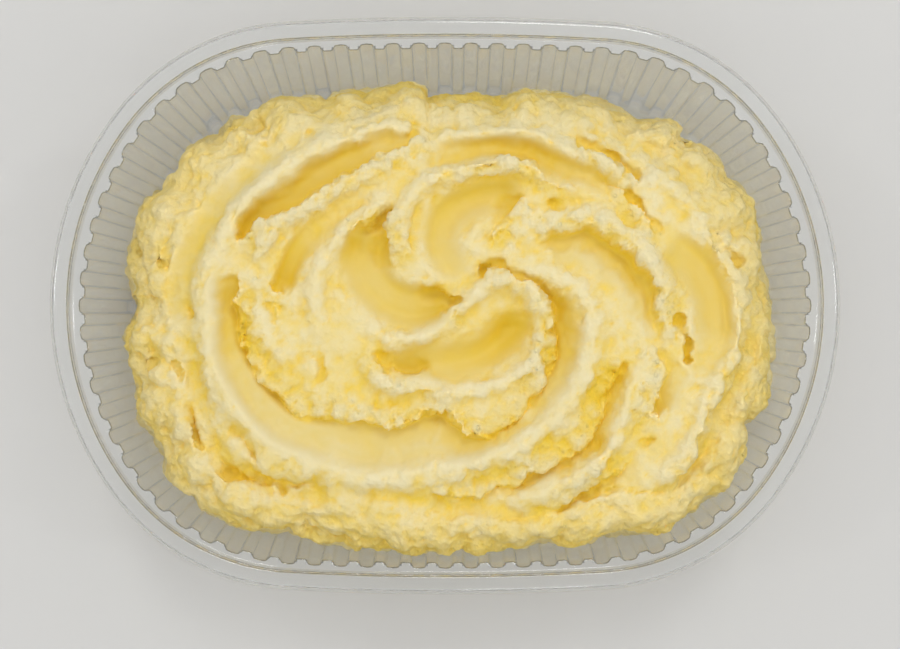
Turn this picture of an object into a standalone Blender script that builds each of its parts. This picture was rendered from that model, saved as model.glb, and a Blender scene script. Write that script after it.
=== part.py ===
"""A side of mashed potato, swirled with a spoon, in a clear ribbed deli tub.

Metres, +Z up. The origin is on the surface that the tub stands on, under the middle of its rim.
+X runs along the tub's length and +Y to its back, where the mash lies lowest.
"""

import math

import bmesh
import bpy
import numpy as np

MM = 0.001

# The tub: one thermoformed sheet. An inset is how far a line lies inside the rim's outer edge.
TUB_LENGTH = 180 * MM
TUB_WIDTH = 131.5 * MM
TUB_HEIGHT = 45 * MM
SHEET = 0.5 * MM
LONG_SIDE_RADIUS = 630 * MM
CORNER_RADIUS = 53 * MM
END_RADIUS = 72.5 * MM

SKIRT_FLARE = 0.9 * MM
SKIRT_DROP = 3.2 * MM
FLANGE_WIDTH = 3.1 * MM
LID_SEAT_RUN = 0.9 * MM
LID_SEAT_DEPTH = 4.0 * MM
LEDGE_WIDTH = 1.2 * MM
RIM_EDGE = 0.4 * MM

WALL_RUN = 6.8 * MM
HEEL_RUN = 2.6 * MM
HEEL_HEIGHT = 3.2 * MM
FOOT_WIDTH = 5.0 * MM
PANEL_RISE = 1.0 * MM

# The ribs stand inwards from the wall, at one pitch along the line PITCH_INSET inside the rim.
RIBS_A_QUARTER = 19
RIB_DEPTH = 1.4 * MM
RIB_FLAT = 0.25
RIB_FLANK = 0.20
PITCH_INSET = 10.5 * MM

# The mash: a heap with its own middle, whose outline is a superellipse.
GAP = 0.35 * MM
HEAP_MIDDLE = (0.5 * MM, -3.0 * MM)
HEAP_HALF_LENGTH = 75.5 * MM
HEAP_HALF_WIDTH = 54 * MM
HEAP_SQUARENESS = 2.7
HEAP_TOP = 47.5 * MM
SHOULDER_HEIGHT = 28 * MM
SHOULDER_LEAN = 6 * MM
DOME_FULLNESS = (3.2, 1.9)
HEAP_CELLS = (48, 34)
SIDE_ROWS = 3
LOBE_COUNTS = (17, 29)
LOBE_HEIGHTS = (0.7 * MM, 0.5 * MM)

# Spoon strokes, in millimetres from the tub's middle: the points that each stroke's floor line
# passes through, its depth, and how wide it is on its left and on its right as it is drawn.
STROKES = {
    "eye": ([(15, -1), (8, -10), (-5, -13), (-15, -11.5)], 5.5, 5.0, 6.0),
    "left_bowl": ([(-15, 17), (-14, 8), (-7, 1.5), (3, 1)], 5.5, 5.0, 12.0),
    "upper_bowl": ([(19, 25.5), (5, 23), (-2, 17), (5, 9)], 5.5, 8.0, 6.0),
    "right_sweep": ([(19, 12.5), (31, 12.5), (41, 5), (47, -9)], 6.5, 5.5, 9.0),
    "hook_moat": ([(24, 1.5), (28, -10), (24, -20), (15, -26)], 6.0, 5.5, 4.5),
    "left_sweep": ([(-48, 6), (-46, -10), (-32, -26), (-12, -31), (10, -32)], 6.5, 5.0, 10.0),
    "upper_left_sweep": ([(-46, 15), (-34, 25), (-20, 32.5), (-4, 38)], 6.0, 5.0, 4.5),
    "left_pocket": ([(-38, 4), (-34, 13), (-22, 22)], 5.5, 4.5, 7.5),
    "upper_sweep": ([(-3, 33), (12, 36), (26, 31.5), (36, 26)], 4.5, 5.0, 4.0),
    "right_outer_sweep": ([(51, 17), (60, 7), (62, -4), (57, -15)], 5.0, 5.0, 8.0),
    "lower_crease": ([(39, -13), (34, -27), (20, -37), (0, -43.5)], 4.0, 5.0, 4.5),
    "right_pocket": ([(51, -17), (50, -26)], 5.0, 5.0, 5.0),
}
STROKE_END = 5 * MM
STROKE_SAMPLES = 40


class Oval:
    """The rim's outline: on each quarter an arc of the long side, of the corner and of the end."""

    def __init__(self):
        half_length, half_width = TUB_LENGTH / 2, TUB_WIDTH / 2
        side = np.array([0, half_width - LONG_SIDE_RADIUS])
        end = np.array([half_length - END_RADIUS, 0])
        corner = self.corner_middle(side, end)
        to_side = math.atan2(corner[1] - side[1], corner[0] - side[0])
        to_end = math.atan2(corner[1] - end[1], corner[0] - end[0])
        self.arcs = [
            (end, END_RADIUS, 0.0, to_end),
            (corner, CORNER_RADIUS, to_end, to_side),
            (side, LONG_SIDE_RADIUS, to_side, math.pi / 2),
        ]

    @staticmethod
    def corner_middle(side, end):
        """The corner arc's middle, where it runs smoothly into both its neighbours."""
        across = end - side
        apart = np.hypot(*across)
        reach_side = LONG_SIDE_RADIUS - CORNER_RADIUS
        reach_end = END_RADIUS - CORNER_RADIUS
        along = (apart**2 + reach_side**2 - reach_end**2) / (2 * apart)
        off = math.sqrt(reach_side**2 - along**2)
        unit = across / apart
        return side + unit * along + np.array([unit[1], -unit[0]]) * off

    def quarter_length(self, inset):
        return sum((radius - inset) * (stop - start) for _, radius, start, stop in self.arcs)

    def point(self, turn, inset):
        """The point on the line at this inset, turn times round from the +X end.

        Turns are counted along the line that the ribs are spaced on, so each rib keeps its turn.
        """
        quarter = self.quarter_length(PITCH_INSET)
        place = (turn % 1.0) * 4 * quarter
        number, rest = divmod(place, quarter)
        mirrored = int(number) % 2 == 1
        if mirrored:
            rest = quarter - rest
        run = 0.0
        for middle, radius, start, stop in self.arcs:
            angle = start + (rest - run) / (radius - PITCH_INSET)
            if angle < stop:
                break
            run += (radius - PITCH_INSET) * (stop - start)
        x = middle[0] + (radius - inset) * math.cos(angle)
        y = middle[1] + (radius - inset) * math.sin(angle)
        return (-x if int(number) in (1, 2) else x), (-y if int(number) in (2, 3) else y)


OVAL = Oval()
RIB_COUNT = 4 * RIBS_A_QUARTER

LEDGE_INSET = SKIRT_FLARE + FLANGE_WIDTH + LID_SEAT_RUN
WALL_TOP_INSET = LEDGE_INSET + LEDGE_WIDTH
WALL_FOOT_INSET = WALL_TOP_INSET + WALL_RUN
LEDGE_HEIGHT = TUB_HEIGHT - LID_SEAT_DEPTH
WALL_FOOT_HEIGHT = SHEET + HEEL_HEIGHT
FOOT_INSET = WALL_FOOT_INSET + HEEL_RUN + RIB_DEPTH


def plain_ring(inset, height):
    """One point at each gap between two ribs."""
    return [(*OVAL.point(i / RIB_COUNT, inset), height) for i in range(RIB_COUNT)]


def ribbed_ring(inset, height):
    """Four points a rib: out, in, in, out."""
    half_flat, half_foot = RIB_FLAT / 2, RIB_FLAT / 2 + RIB_FLANK
    corners = [(0.5 - half_foot, 0), (0.5 - half_flat, RIB_DEPTH)]
    corners += [(0.5 + half_flat, RIB_DEPTH), (0.5 + half_foot, 0)]
    return [
        (*OVAL.point((i + share) / RIB_COUNT, inset + depth), height)
        for i in range(RIB_COUNT)
        for share, depth in corners
    ]


def add_ring(bm, points):
    return [bm.verts.new(point) for point in points]


def band(bm, upper, lower):
    """Faces between two rings with the same number of points, facing the tub's inside."""
    count = len(upper)
    for i in range(count):
        j = (i + 1) % count
        bm.faces.new((upper[i], upper[j], lower[j], lower[i]))


def rib_band(bm, plain, ribbed, ribbed_below):
    """Faces between a plain ring and a ribbed one, which has four points for each plain one."""
    for i in range(RIB_COUNT):
        here, following = plain[i], plain[(i + 1) % RIB_COUNT]
        a, b, c, d = ribbed[4 * i : 4 * i + 4]
        after = ribbed[(4 * i + 4) % len(ribbed)]
        fans = [(here, b, a), (here, following, c, b), (following, d, c), (following, after, d)]
        for corners in fans:
            bm.faces.new(corners if ribbed_below else corners[::-1])


def tub_skin():
    """The sheet's inner and upper face, from the skirt's edge to the raised panel in the base."""
    bm = bmesh.new()
    rim = [
        (0, TUB_HEIGHT - SKIRT_DROP),
        (SKIRT_FLARE, TUB_HEIGHT - RIM_EDGE),
        (SKIRT_FLARE + RIM_EDGE, TUB_HEIGHT),
        (SKIRT_FLARE + FLANGE_WIDTH, TUB_HEIGHT),
        (LEDGE_INSET, LEDGE_HEIGHT),
    ]
    rings = [add_ring(bm, plain_ring(inset, height)) for inset, height in rim]
    for upper, lower in zip(rings, rings[1:]):
        band(bm, upper, lower)
    wall_top = add_ring(bm, ribbed_ring(WALL_TOP_INSET, LEDGE_HEIGHT))
    wall_foot = add_ring(bm, ribbed_ring(WALL_FOOT_INSET, WALL_FOOT_HEIGHT))
    rib_band(bm, rings[-1], wall_top, True)
    band(bm, wall_top, wall_foot)
    base = [
        (FOOT_INSET, SHEET),
        (FOOT_INSET + FOOT_WIDTH, SHEET),
        (FOOT_INSET + FOOT_WIDTH + PANEL_RISE, SHEET + PANEL_RISE),
    ]
    base_rings = [add_ring(bm, plain_ring(inset, height)) for inset, height in base]
    rib_band(bm, base_rings[0], wall_foot, False)
    for upper, lower in zip(base_rings, base_rings[1:]):
        band(bm, upper, lower)
    bm.faces.new(base_rings[-1])
    return bm


def make_tub():
    """The clear tub, as its skin given the sheet's thickness outwards."""
    tub = object_from(tub_skin(), "tub", clear_plastic())
    sheet = tub.modifiers.new("sheet", "SOLIDIFY")
    sheet.thickness = SHEET
    sheet.offset = -1.0
    sheet.use_even_offset = True
    return tub


def stroke_line(points):
    """A smooth line through a stroke's points, in metres."""
    knots = np.array(points, float) * MM
    padded = np.vstack([2 * knots[0] - knots[1], knots, 2 * knots[-1] - knots[-2]])
    spans = len(knots) - 1
    line = []
    for u in np.linspace(0, spans, STROKE_SAMPLES):
        k = min(int(u), spans - 1)
        t = u - k
        p0, p1, p2, p3 = padded[k : k + 4]
        turn = 2 * p0 - 5 * p1 + 4 * p2 - p3
        line.append(
            0.5 * (2 * p1 + (p2 - p0) * t + turn * t**2 + (3 * p1 - p0 - 3 * p2 + p3) * t**3)
        )
    return np.array(line)


def smoothed(share):
    share = np.clip(share, 0, 1)
    return share * share * (3 - 2 * share)


def stroke_cut(places, points, depth, left, right):
    """How deep one stroke cuts at each of the places."""
    line = stroke_line(points)
    start, step = line[:-1], np.diff(line, axis=0)
    to_place = places[:, None, :] - start[None]
    along = np.clip((to_place * step).sum(2) / (step**2).sum(1), 0, 1)
    off = to_place - along[..., None] * step
    far = np.hypot(off[..., 0], off[..., 1])
    nearest = far.argmin(1)
    row = np.arange(len(places))
    near_step, near_off = step[nearest], off[row, nearest]
    on_left = near_step[:, 0] * near_off[:, 1] - near_step[:, 1] * near_off[:, 0] > 0
    width = np.where(on_left, left, right) * MM
    ends = np.minimum(
        np.hypot(*(places - line[0]).T) + left * MM, np.hypot(*(places - line[-1]).T) + left * MM
    )
    taper = smoothed(0.35 + 0.65 * ends / (STROKE_END + left * MM))
    return depth * MM * taper * (1 - smoothed(far[row, nearest] / width))


def heap_radius(angles):
    """How far the heap reaches from its middle, with the low lobes of its edge."""
    c, s = np.abs(np.cos(angles)), np.abs(np.sin(angles))
    n = HEAP_SQUARENESS
    plain = ((c / HEAP_HALF_LENGTH) ** n + (s / HEAP_HALF_WIDTH) ** n) ** (-1 / n)
    for lobes, height in zip(LOBE_COUNTS, LOBE_HEIGHTS):
        plain = plain + height * np.sin(lobes * angles + lobes)
    return plain


def wall_radius(angles, inset):
    """How far the line at this inset lies from the heap's middle."""
    turns = np.linspace(0, 1, 2 * RIB_COUNT, endpoint=False)
    line = np.array([OVAL.point(turn, inset) for turn in turns]) - HEAP_MIDDLE
    bearing = np.arctan2(line[:, 1], line[:, 0])
    order = np.argsort(bearing)
    reach = np.hypot(line[:, 0], line[:, 1])
    return np.interp(angles, bearing[order], reach[order], period=2 * math.pi)


def rib_inset(height):
    """The inset of the ribs' faces at a height."""
    down = (LEDGE_HEIGHT - height) / (LEDGE_HEIGHT - WALL_FOOT_HEIGHT)
    heel = np.clip((WALL_FOOT_HEIGHT - height) / HEEL_HEIGHT, 0, 1) * HEEL_RUN
    return WALL_TOP_INSET + RIB_DEPTH + WALL_RUN * np.clip(down, 0, 1) + heel


def heap_points(angles, radii, heights):
    """Points round the heap's middle, held back from the tub's ribs."""
    limits = [
        wall_radius(angle, rib_inset(height) + GAP)
        for angle, height in zip(angles, np.broadcast_to(heights, angles.shape))
    ]
    radii = np.minimum(radii, limits)
    x = HEAP_MIDDLE[0] + radii * np.cos(angles)
    y = HEAP_MIDDLE[1] + radii * np.sin(angles)
    return np.column_stack([x, y, np.broadcast_to(heights, x.shape)])


def swirled_heights(places, heights):
    """The heights with the spoon's strokes cut into them, each as deep as the deepest there."""
    cuts = [stroke_cut(places, *stroke) for stroke in STROKES.values()]
    return heights - np.max(cuts, axis=0)


def heap_grid():
    """A grid over the heap's top as angles and shares of the way out, by rows from the front."""
    across, along = HEAP_CELLS
    u, v = np.meshgrid(np.linspace(-1, 1, across + 1), np.linspace(-1, 1, along + 1))
    x, y = u * np.sqrt(1 - v * v / 2), v * np.sqrt(1 - u * u / 2)
    return np.arctan2(y * HEAP_HALF_WIDTH, x * HEAP_HALF_LENGTH), np.minimum(np.hypot(x, y), 1)


def make_mash():
    """The heap as one closed solid: its swirled top, its sides and its underside."""
    angles, shares = heap_grid()
    shoulder = SHOULDER_HEIGHT - SHOULDER_LEAN * np.sin(angles)
    rise, fall = DOME_FULLNESS
    heights = shoulder + (HEAP_TOP - shoulder) * (1 - shares**rise) ** (1 / fall)
    top = heap_points(angles.ravel(), (heap_radius(angles) * shares).ravel(), heights.ravel())
    top[:, 2] = swirled_heights(top[:, :2], top[:, 2])

    bm = bmesh.new()
    grid = np.array(add_ring(bm, top)).reshape(angles.shape)
    for row, following in zip(grid, grid[1:]):
        for i in range(len(row) - 1):
            bm.faces.new((row[i], row[i + 1], following[i + 1], following[i]))
    edge = [*grid[0, :-1], *grid[:-1, -1], *grid[-1, :0:-1], *grid[:0:-1, 0]]

    bearings = np.array([math.atan2(v.co.y - HEAP_MIDDLE[1], v.co.x - HEAP_MIDDLE[0]) for v in edge])
    starts = np.array([v.co.z for v in edge])
    floor = SHEET + GAP
    rings = [edge]
    for row in range(1, SIDE_ROWS + 1):
        heights = starts + (floor - starts) * row / SIDE_ROWS
        rings.append(add_ring(bm, heap_points(bearings, heap_radius(bearings), heights)))
    foot = FOOT_INSET + FOOT_WIDTH
    for inset, height in ((foot, floor), (foot + PANEL_RISE, floor + PANEL_RISE)):
        reach = wall_radius(bearings, inset - GAP)
        rings.append(add_ring(bm, heap_points(bearings, reach, height)))
    for upper, lower in zip(rings, rings[1:]):
        band(bm, lower, upper)
    bm.faces.new(rings[-1][::-1])
    return object_from(bm, "mash", potato())


def object_from(bm, name, material):
    mesh = bpy.data.meshes.new(name)
    bm.to_mesh(mesh)
    bm.free()
    mesh.materials.append(material)
    mesh.shade_smooth()
    made = bpy.data.objects.new(name, mesh)
    bpy.context.scene.collection.objects.link(made)
    return made


def finish(name, colour, roughness):
    """A non-metallic material and its Principled node."""
    material = bpy.data.materials.new(name)
    material.use_nodes = True
    shader = material.node_tree.nodes["Principled BSDF"]
    shader.inputs["Base Color"].default_value = (*colour, 1)
    shader.inputs["Roughness"].default_value = roughness
    shader.inputs["Metallic"].default_value = 0
    return material, shader


def clear_plastic():
    material, shader = finish("clear_plastic", (0.95, 0.96, 0.96), 0.06)
    shader.inputs["Transmission Weight"].default_value = 1
    shader.inputs["IOR"].default_value = 1.57
    return material


def potato():
    return finish("mashed_potato", (0.90, 0.76, 0.38), 0.5)[0]


def main():
    for old in list(bpy.data.objects):
        bpy.data.objects.remove(old, do_unlink=True)
    make_tub()
    make_mash()


main()
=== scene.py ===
"""Looks of the mashed potato side: a heap swirled with a spoon in a clear, ribbed oval tub.

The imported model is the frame. The fine tub and the fine mash stand for its two nodes, and loose
crumbs lie on the mash. Shapes are worked out in millimetres and stored in metres.
"""

import itertools
import logging
import math
from collections.abc import Sequence
from dataclasses import dataclass, field
from enum import Enum

import bpy
import numpy as np
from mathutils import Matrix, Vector


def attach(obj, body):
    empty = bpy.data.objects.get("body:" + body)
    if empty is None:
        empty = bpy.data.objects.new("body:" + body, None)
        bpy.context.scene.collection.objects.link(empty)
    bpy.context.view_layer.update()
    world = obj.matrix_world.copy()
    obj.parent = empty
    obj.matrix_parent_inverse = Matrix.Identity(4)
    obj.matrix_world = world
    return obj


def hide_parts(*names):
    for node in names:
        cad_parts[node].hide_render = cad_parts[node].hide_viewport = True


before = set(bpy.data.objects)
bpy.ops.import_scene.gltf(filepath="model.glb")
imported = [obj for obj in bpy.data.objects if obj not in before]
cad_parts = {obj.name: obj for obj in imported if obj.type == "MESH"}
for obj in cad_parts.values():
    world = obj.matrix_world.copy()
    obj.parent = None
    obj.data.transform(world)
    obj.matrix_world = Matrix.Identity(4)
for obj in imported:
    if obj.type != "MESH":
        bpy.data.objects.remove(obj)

Array = np.ndarray
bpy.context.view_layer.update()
MM = 0.001
log = logging.getLogger("mashed_potato_side")


# ---------------------------------------------------------------------------------------------
# Node trees
# ---------------------------------------------------------------------------------------------


class Signal:
    """One output of a node, on which Python's operators add Math nodes."""

    def __init__(self, tree: bpy.types.NodeTree, socket: bpy.types.NodeSocket) -> None:
        """Wraps a socket.

        Args:
            tree: The tree that the socket's node is in.
            socket: The output that carries the value.
        """
        self.tree = tree
        self.socket = socket

    def _math(self, operation: str, *values: "Signal | float") -> "Signal":
        """Adds one Math node.

        Args:
            operation: The node's operation, such as MULTIPLY.
            values: What goes into its inputs, in order.

        Returns:
            The node's value.
        """
        made = self.tree.nodes.new("ShaderNodeMath")
        made.operation = operation
        for slot, value in zip(made.inputs, values):
            plug(self.tree, slot, value)
        return Signal(self.tree, made.outputs[0])

    def maths(self, operation: str, *others: "Signal | float") -> "Signal":
        """Adds one Math node that takes this signal first.

        Args:
            operation: The node's operation, such as POWER.
            others: What goes into its further inputs.

        Returns:
            The node's value.
        """
        return self._math(operation, self, *others)

    def __add__(self, other: "Signal | float") -> "Signal":
        """Adds."""
        return self._math("ADD", self, other)

    def __radd__(self, other: float) -> "Signal":
        """Adds, with the number first."""
        return self._math("ADD", other, self)

    def __sub__(self, other: "Signal | float") -> "Signal":
        """Takes away."""
        return self._math("SUBTRACT", self, other)

    def __rsub__(self, other: float) -> "Signal":
        """Takes this from the number."""
        return self._math("SUBTRACT", other, self)

    def __mul__(self, other: "Signal | float") -> "Signal":
        """Multiplies."""
        return self._math("MULTIPLY", self, other)

    def __rmul__(self, other: float) -> "Signal":
        """Multiplies, with the number first."""
        return self._math("MULTIPLY", other, self)

    def __truediv__(self, other: "Signal | float") -> "Signal":
        """Divides."""
        return self._math("DIVIDE", self, other)

    def __rtruediv__(self, other: float) -> "Signal":
        """Divides the number by this."""
        return self._math("DIVIDE", other, self)


def plug(tree: bpy.types.NodeTree, slot: bpy.types.NodeSocket, value: object) -> None:
    """Links a signal to an input, or sets the input to a plain value.

    Args:
        tree: The tree that both are in.
        slot: The input.
        value: A signal, a socket or the socket's own kind of value.
    """
    if isinstance(value, Signal):
        tree.links.new(value.socket, slot)
    elif isinstance(value, bpy.types.NodeSocket):
        tree.links.new(value, slot)
    else:
        slot.default_value = value


@dataclass
class Wiring:
    """Adds nodes to one tree."""

    tree: bpy.types.NodeTree

    def node(
        self, kind: str, settings: dict[str, object] | None = None, **inputs: object
    ) -> bpy.types.Node:
        """Adds a node.

        Args:
            kind: The node's type.
            settings: Its properties, set first. The key stops holds a ramp's places and colours.
            inputs: Values or links by socket name, with _ for a space, or _0, _1 by number.

        Returns:
            The node.
        """
        made = self.tree.nodes.new(kind)
        for name, value in (settings or {}).items():
            if name == "stops":
                self._fill_ramp(made.color_ramp, value)
            else:
                setattr(made, name, value)
        for name, value in inputs.items():
            key = name[1:] if name.startswith("_") else name.replace("_", " ")
            slot = made.inputs[int(key)] if key.isdigit() else made.inputs[key]
            plug(self.tree, slot, value)
        return made

    def value(
        self,
        kind: str,
        settings: dict[str, object] | None = None,
        out: str | int = 0,
        **inputs: object,
    ) -> Signal:
        """Adds a node and gives one of its outputs.

        Args:
            kind: The node's type.
            settings: Its properties, set first.
            out: The output's name or number.
            inputs: Values or links by socket name.

        Returns:
            The output.
        """
        return Signal(self.tree, self.node(kind, settings, **inputs).outputs[out])

    def blend(self, share: object, first: object, second: object) -> Signal:
        """Mixes two colours.

        Args:
            share: How much of the second, from 0 to 1.
            first: A colour or a signal.
            second: A colour or a signal.

        Returns:
            The mixed colour.
        """
        made = self.tree.nodes.new("ShaderNodeMix")
        made.data_type = "RGBA"
        for slot, value in zip((made.inputs[0], made.inputs[6], made.inputs[7]), (share, first, second)):
            plug(self.tree, slot, value)
        return Signal(self.tree, made.outputs[2])

    @staticmethod
    def _fill_ramp(ramp: bpy.types.ColorRamp, stops: Sequence[tuple[float, float]]) -> None:
        """Sets a ramp's stops.

        Args:
            ramp: The ramp.
            stops: Pairs of a place and a grey level.
        """
        while len(ramp.elements) < len(stops):
            ramp.elements.new(1.0)
        for element, (place, level) in zip(ramp.elements, stops):
            element.position = place
            element.color = (level, level, level, 1.0)


# ---------------------------------------------------------------------------------------------
# Finishes
# ---------------------------------------------------------------------------------------------


def new_material(name: str) -> tuple[bpy.types.Material, Wiring, bpy.types.Node]:
    """Makes a material with an empty tree but for its output.

    Args:
        name: The material's name.

    Returns:
        The material, its wiring and its output node.
    """
    material = bpy.data.materials.new(name)
    material.use_nodes = True
    material.node_tree.nodes.clear()
    wiring = Wiring(material.node_tree)
    return material, wiring, wiring.node("ShaderNodeOutputMaterial")


@dataclass(frozen=True)
class MashFinish:
    """Buttery mash, with painted shade: pale on its crests, painted gold shade in its hollows and on faces turned from
    the key lamp, and painted darker shade on the smooth floors where the spoon slid.
    """

    name: str = "mashed_potato"
    # The crest colour is the lit mash. The hollow colour is painted gold shade for where the mash lies in shade, so
    # these are lit and shaded copies of one colour.
    crest: tuple[float, float, float, float] = (0.85, 0.75, 0.45, 1.0)
    hollow: tuple[float, float, float, float] = (0.88, 0.62, 0.045, 1.0)
    # Painted shade: how far the smooth trough floors are darkened.
    floor_painted_shade: float = 0.92
    depth_of_light: float = 0.7 * MM
    scatter: tuple[float, float, float] = (1.0, 0.75, 0.4)
    translucency: float = 0.85

    def material(self) -> bpy.types.Material:
        """Builds the mash's material."""
        material, wiring, output = new_material(self.name)
        place = wiring.value("ShaderNodeTexCoord", out="Object")
        # The hollow attribute holds the share of painted gold shade.
        hollow = wiring.value("ShaderNodeAttribute", {"attribute_name": "hollow"}, out="Fac")
        torn = wiring.value("ShaderNodeAttribute", {"attribute_name": "torn"}, out="Fac")
        clouds = wiring.value("ShaderNodeTexNoise", Vector=place, Scale=90.0, Detail=3.0)
        share = hollow + (clouds - 0.5) * 0.25
        share = wiring.value("ShaderNodeClamp", Value=share)
        colour = wiring.blend(share, self.crest, self.hollow)
        # Painted shade: the smooth trough floors, where torn is low, are made darker.
        off_floor = wiring.value("ShaderNodeClamp", Value=torn * 2.0)
        shade = self.floor_painted_shade + off_floor * (1.0 - self.floor_painted_shade)
        colour = wiring.value("ShaderNodeVectorMath", {"operation": "SCALE"}, _0=colour, Scale=shade)
        grain = wiring.value("ShaderNodeTexNoise", Vector=place, Scale=900.0, Detail=4.0)
        lumps = wiring.value(
            "ShaderNodeTexVoronoi", {"feature": "SMOOTH_F1"}, Vector=place, Scale=620.0, Randomness=1.0
        )
        height = (grain * 0.9 - lumps * 0.8) * (torn * 0.95 + 0.05)
        bump = wiring.value("ShaderNodeBump", out="Normal", Strength=1.0, Distance=0.8 * MM, Height=height)
        rough = 0.42 + torn * 0.16 + (grain - 0.5) * 0.12
        shader = wiring.node(
            "ShaderNodeBsdfPrincipled",
            {"subsurface_method": "BURLEY"},
            Base_Color=colour,
            Roughness=rough,
            Normal=bump,
            Subsurface_Weight=self.translucency,
            Subsurface_Radius=self.scatter,
            Subsurface_Scale=self.depth_of_light,
            Specular_IOR_Level=0.35,
            IOR=1.40,
        )
        plug(wiring.tree, output.inputs["Surface"], shader.outputs[0])
        return material


@dataclass(frozen=True)
class ClearSheet:
    """Clear thermoformed plastic. Lamps shine through it, so what it holds is lit."""

    tint: tuple[float, float, float, float] = (0.975, 0.985, 0.985, 1.0)
    refraction: float = 1.57
    roughness: float = 0.035
    # Painted shade: the darker tint used where the sheet is seen edge-on, which draws dark lines along its rims and
    # folds.
    edge: tuple[float, float, float, float] = (0.78, 0.78, 0.77, 1.0)
    plain_share: float = 0.14

    def material(self) -> bpy.types.Material:
        """Builds the tub's material."""
        material, wiring, output = new_material("clear_plastic")
        place = wiring.value("ShaderNodeTexCoord", out="Object")
        waves = wiring.value("ShaderNodeTexNoise", Vector=place, Scale=160.0, Detail=2.0)
        bump = wiring.value("ShaderNodeBump", out="Normal", Strength=0.12, Distance=0.2 * MM, Height=waves)
        rough = wiring.value(
            "ShaderNodeMapRange", _0=waves, _1=0.35, _2=0.75, _3=self.roughness, _4=self.roughness * 2.2
        )
        # Painted shade: the tint darkens towards grazing view.
        grazing = wiring.value("ShaderNodeLayerWeight", out="Facing", Blend=0.35)
        colour = wiring.blend(grazing, self.tint, self.edge)
        sheet = wiring.node(
            "ShaderNodeBsdfPrincipled",
            Base_Color=colour,
            Roughness=rough,
            Normal=bump,
            Transmission_Weight=1.0,
            IOR=self.refraction,
        )
        clear = wiring.node("ShaderNodeBsdfTransparent", Color=(0.93, 0.94, 0.94, 1.0))
        lamp = wiring.value("ShaderNodeLightPath", out="Is Shadow Ray")
        through = lamp.maths("MAXIMUM", self.plain_share)
        mixed = wiring.node("ShaderNodeMixShader", _0=through, _1=sheet.outputs[0], _2=clear.outputs[0])
        plug(wiring.tree, output.inputs["Surface"], mixed.outputs[0])
        return material


@dataclass(frozen=True)
class TableFinish:
    """A plain pale table top."""

    colour: tuple[float, float, float, float] = (0.66, 0.655, 0.64, 1.0)

    def material(self) -> bpy.types.Material:
        """Builds the table's material."""
        material, wiring, output = new_material("pale_table")
        shader = wiring.node("ShaderNodeBsdfPrincipled", Base_Color=self.colour, Roughness=0.6)
        plug(wiring.tree, output.inputs["Surface"], shader.outputs[0])
        return material


# ---------------------------------------------------------------------------------------------
# Shape helpers
# ---------------------------------------------------------------------------------------------


def eased(share: Array) -> Array:
    """A smooth step from 0 to 1 over shares from 0 to 1."""
    share = np.clip(share, 0.0, 1.0)
    return share * share * (3.0 - 2.0 * share)


class Noise:
    """Smooth noise in space, the same on each run."""

    def __init__(self, seed: int) -> None:
        """Draws the noise's slopes.

        Args:
            seed: The number that fixes them.
        """
        rng = np.random.default_rng(seed)
        self._order = rng.permutation(256)
        slopes = rng.normal(size=(256, 3))
        self._slopes = slopes / np.linalg.norm(slopes, axis=1, keepdims=True)
        self._middles = rng.uniform(0.1, 0.9, size=(256, 3))
        self._sizes = rng.uniform(0.45, 1.0, size=256)

    def _pick(self, cell: Array) -> Array:
        """A number from 0 to 255 for each cell.

        Args:
            cell: Whole numbers, three a row.

        Returns:
            One number a row.
        """
        order = self._order
        first = order[cell[:, 0] & 255]
        second = order[(first + cell[:, 1]) & 255]
        return order[(second + cell[:, 2]) & 255]

    def waves(self, places: Array, size: float) -> Array:
        """Gradient noise, from about -1 to 1.

        Args:
            places: Points, three numbers a row.
            size: The noise's grain, in the points' own unit.

        Returns:
            One value a point.
        """
        scaled = places / size
        cell = np.floor(scaled).astype(np.int64)
        within = scaled - cell
        ease = within**3 * (within * (within * 6.0 - 15.0) + 10.0)
        total = np.zeros(len(places))
        for corner in itertools.product((0, 1), repeat=3):
            slopes = self._slopes[self._pick(cell + corner)]
            weight = np.prod(np.where(corner, ease, 1.0 - ease), axis=1)
            total += weight * ((within - corner) * slopes).sum(axis=1)
        return total * 1.7

    def lumps(self, places: Array, size: float) -> Array:
        """The tops of packed round lumps, with creases between them, from 0 to 1.

        Args:
            places: Points, three numbers a row.
            size: How far apart the lumps are.

        Returns:
            One value a point.
        """
        scaled = places / size
        cell = np.floor(scaled).astype(np.int64)
        within = scaled - cell
        tallest = np.zeros(len(places))
        for step in itertools.product((-1, 0, 1), repeat=3):
            chosen = self._pick(cell + step)
            apart = ((within - step - self._middles[chosen]) ** 2).sum(axis=1)
            radius = self._sizes[chosen]
            tallest = np.maximum(tallest, radius * np.sqrt(np.clip(1.0 - apart / radius**2, 0.0, 1.0)))
        return tallest


def smooth_line(knots: Sequence[Sequence[float]], spacing: float) -> Array:
    """A smooth line through knots, with the knots' further numbers carried along it.

    Args:
        knots: Rows of x, y and any further numbers.
        spacing: The distance between the line's points.

    Returns:
        The line's points, with as many columns as the knots.
    """
    points = np.array(knots, dtype=float)
    padded = np.vstack([2 * points[0] - points[1], points, 2 * points[-1] - points[-2]])
    line = []
    for p0, p1, p2, p3 in zip(padded, padded[1:], padded[2:], padded[3:]):
        count = max(2, int(np.hypot(*(p2 - p1)[:2]) / spacing))
        for t in np.arange(count) / count:
            turn = 2 * p0 - 5 * p1 + 4 * p2 - p3
            line.append(0.5 * (2 * p1 + (p2 - p0) * t + turn * t * t + (3 * p1 - p0 - 3 * p2 + p3) * t**3))
    line.append(points[-1])
    return np.array(line)


@dataclass(frozen=True)
class Nearness:
    """How a set of places lies to a line."""

    chosen: Array
    aside: Array
    along: Array
    length: float
    carried: Array


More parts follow.
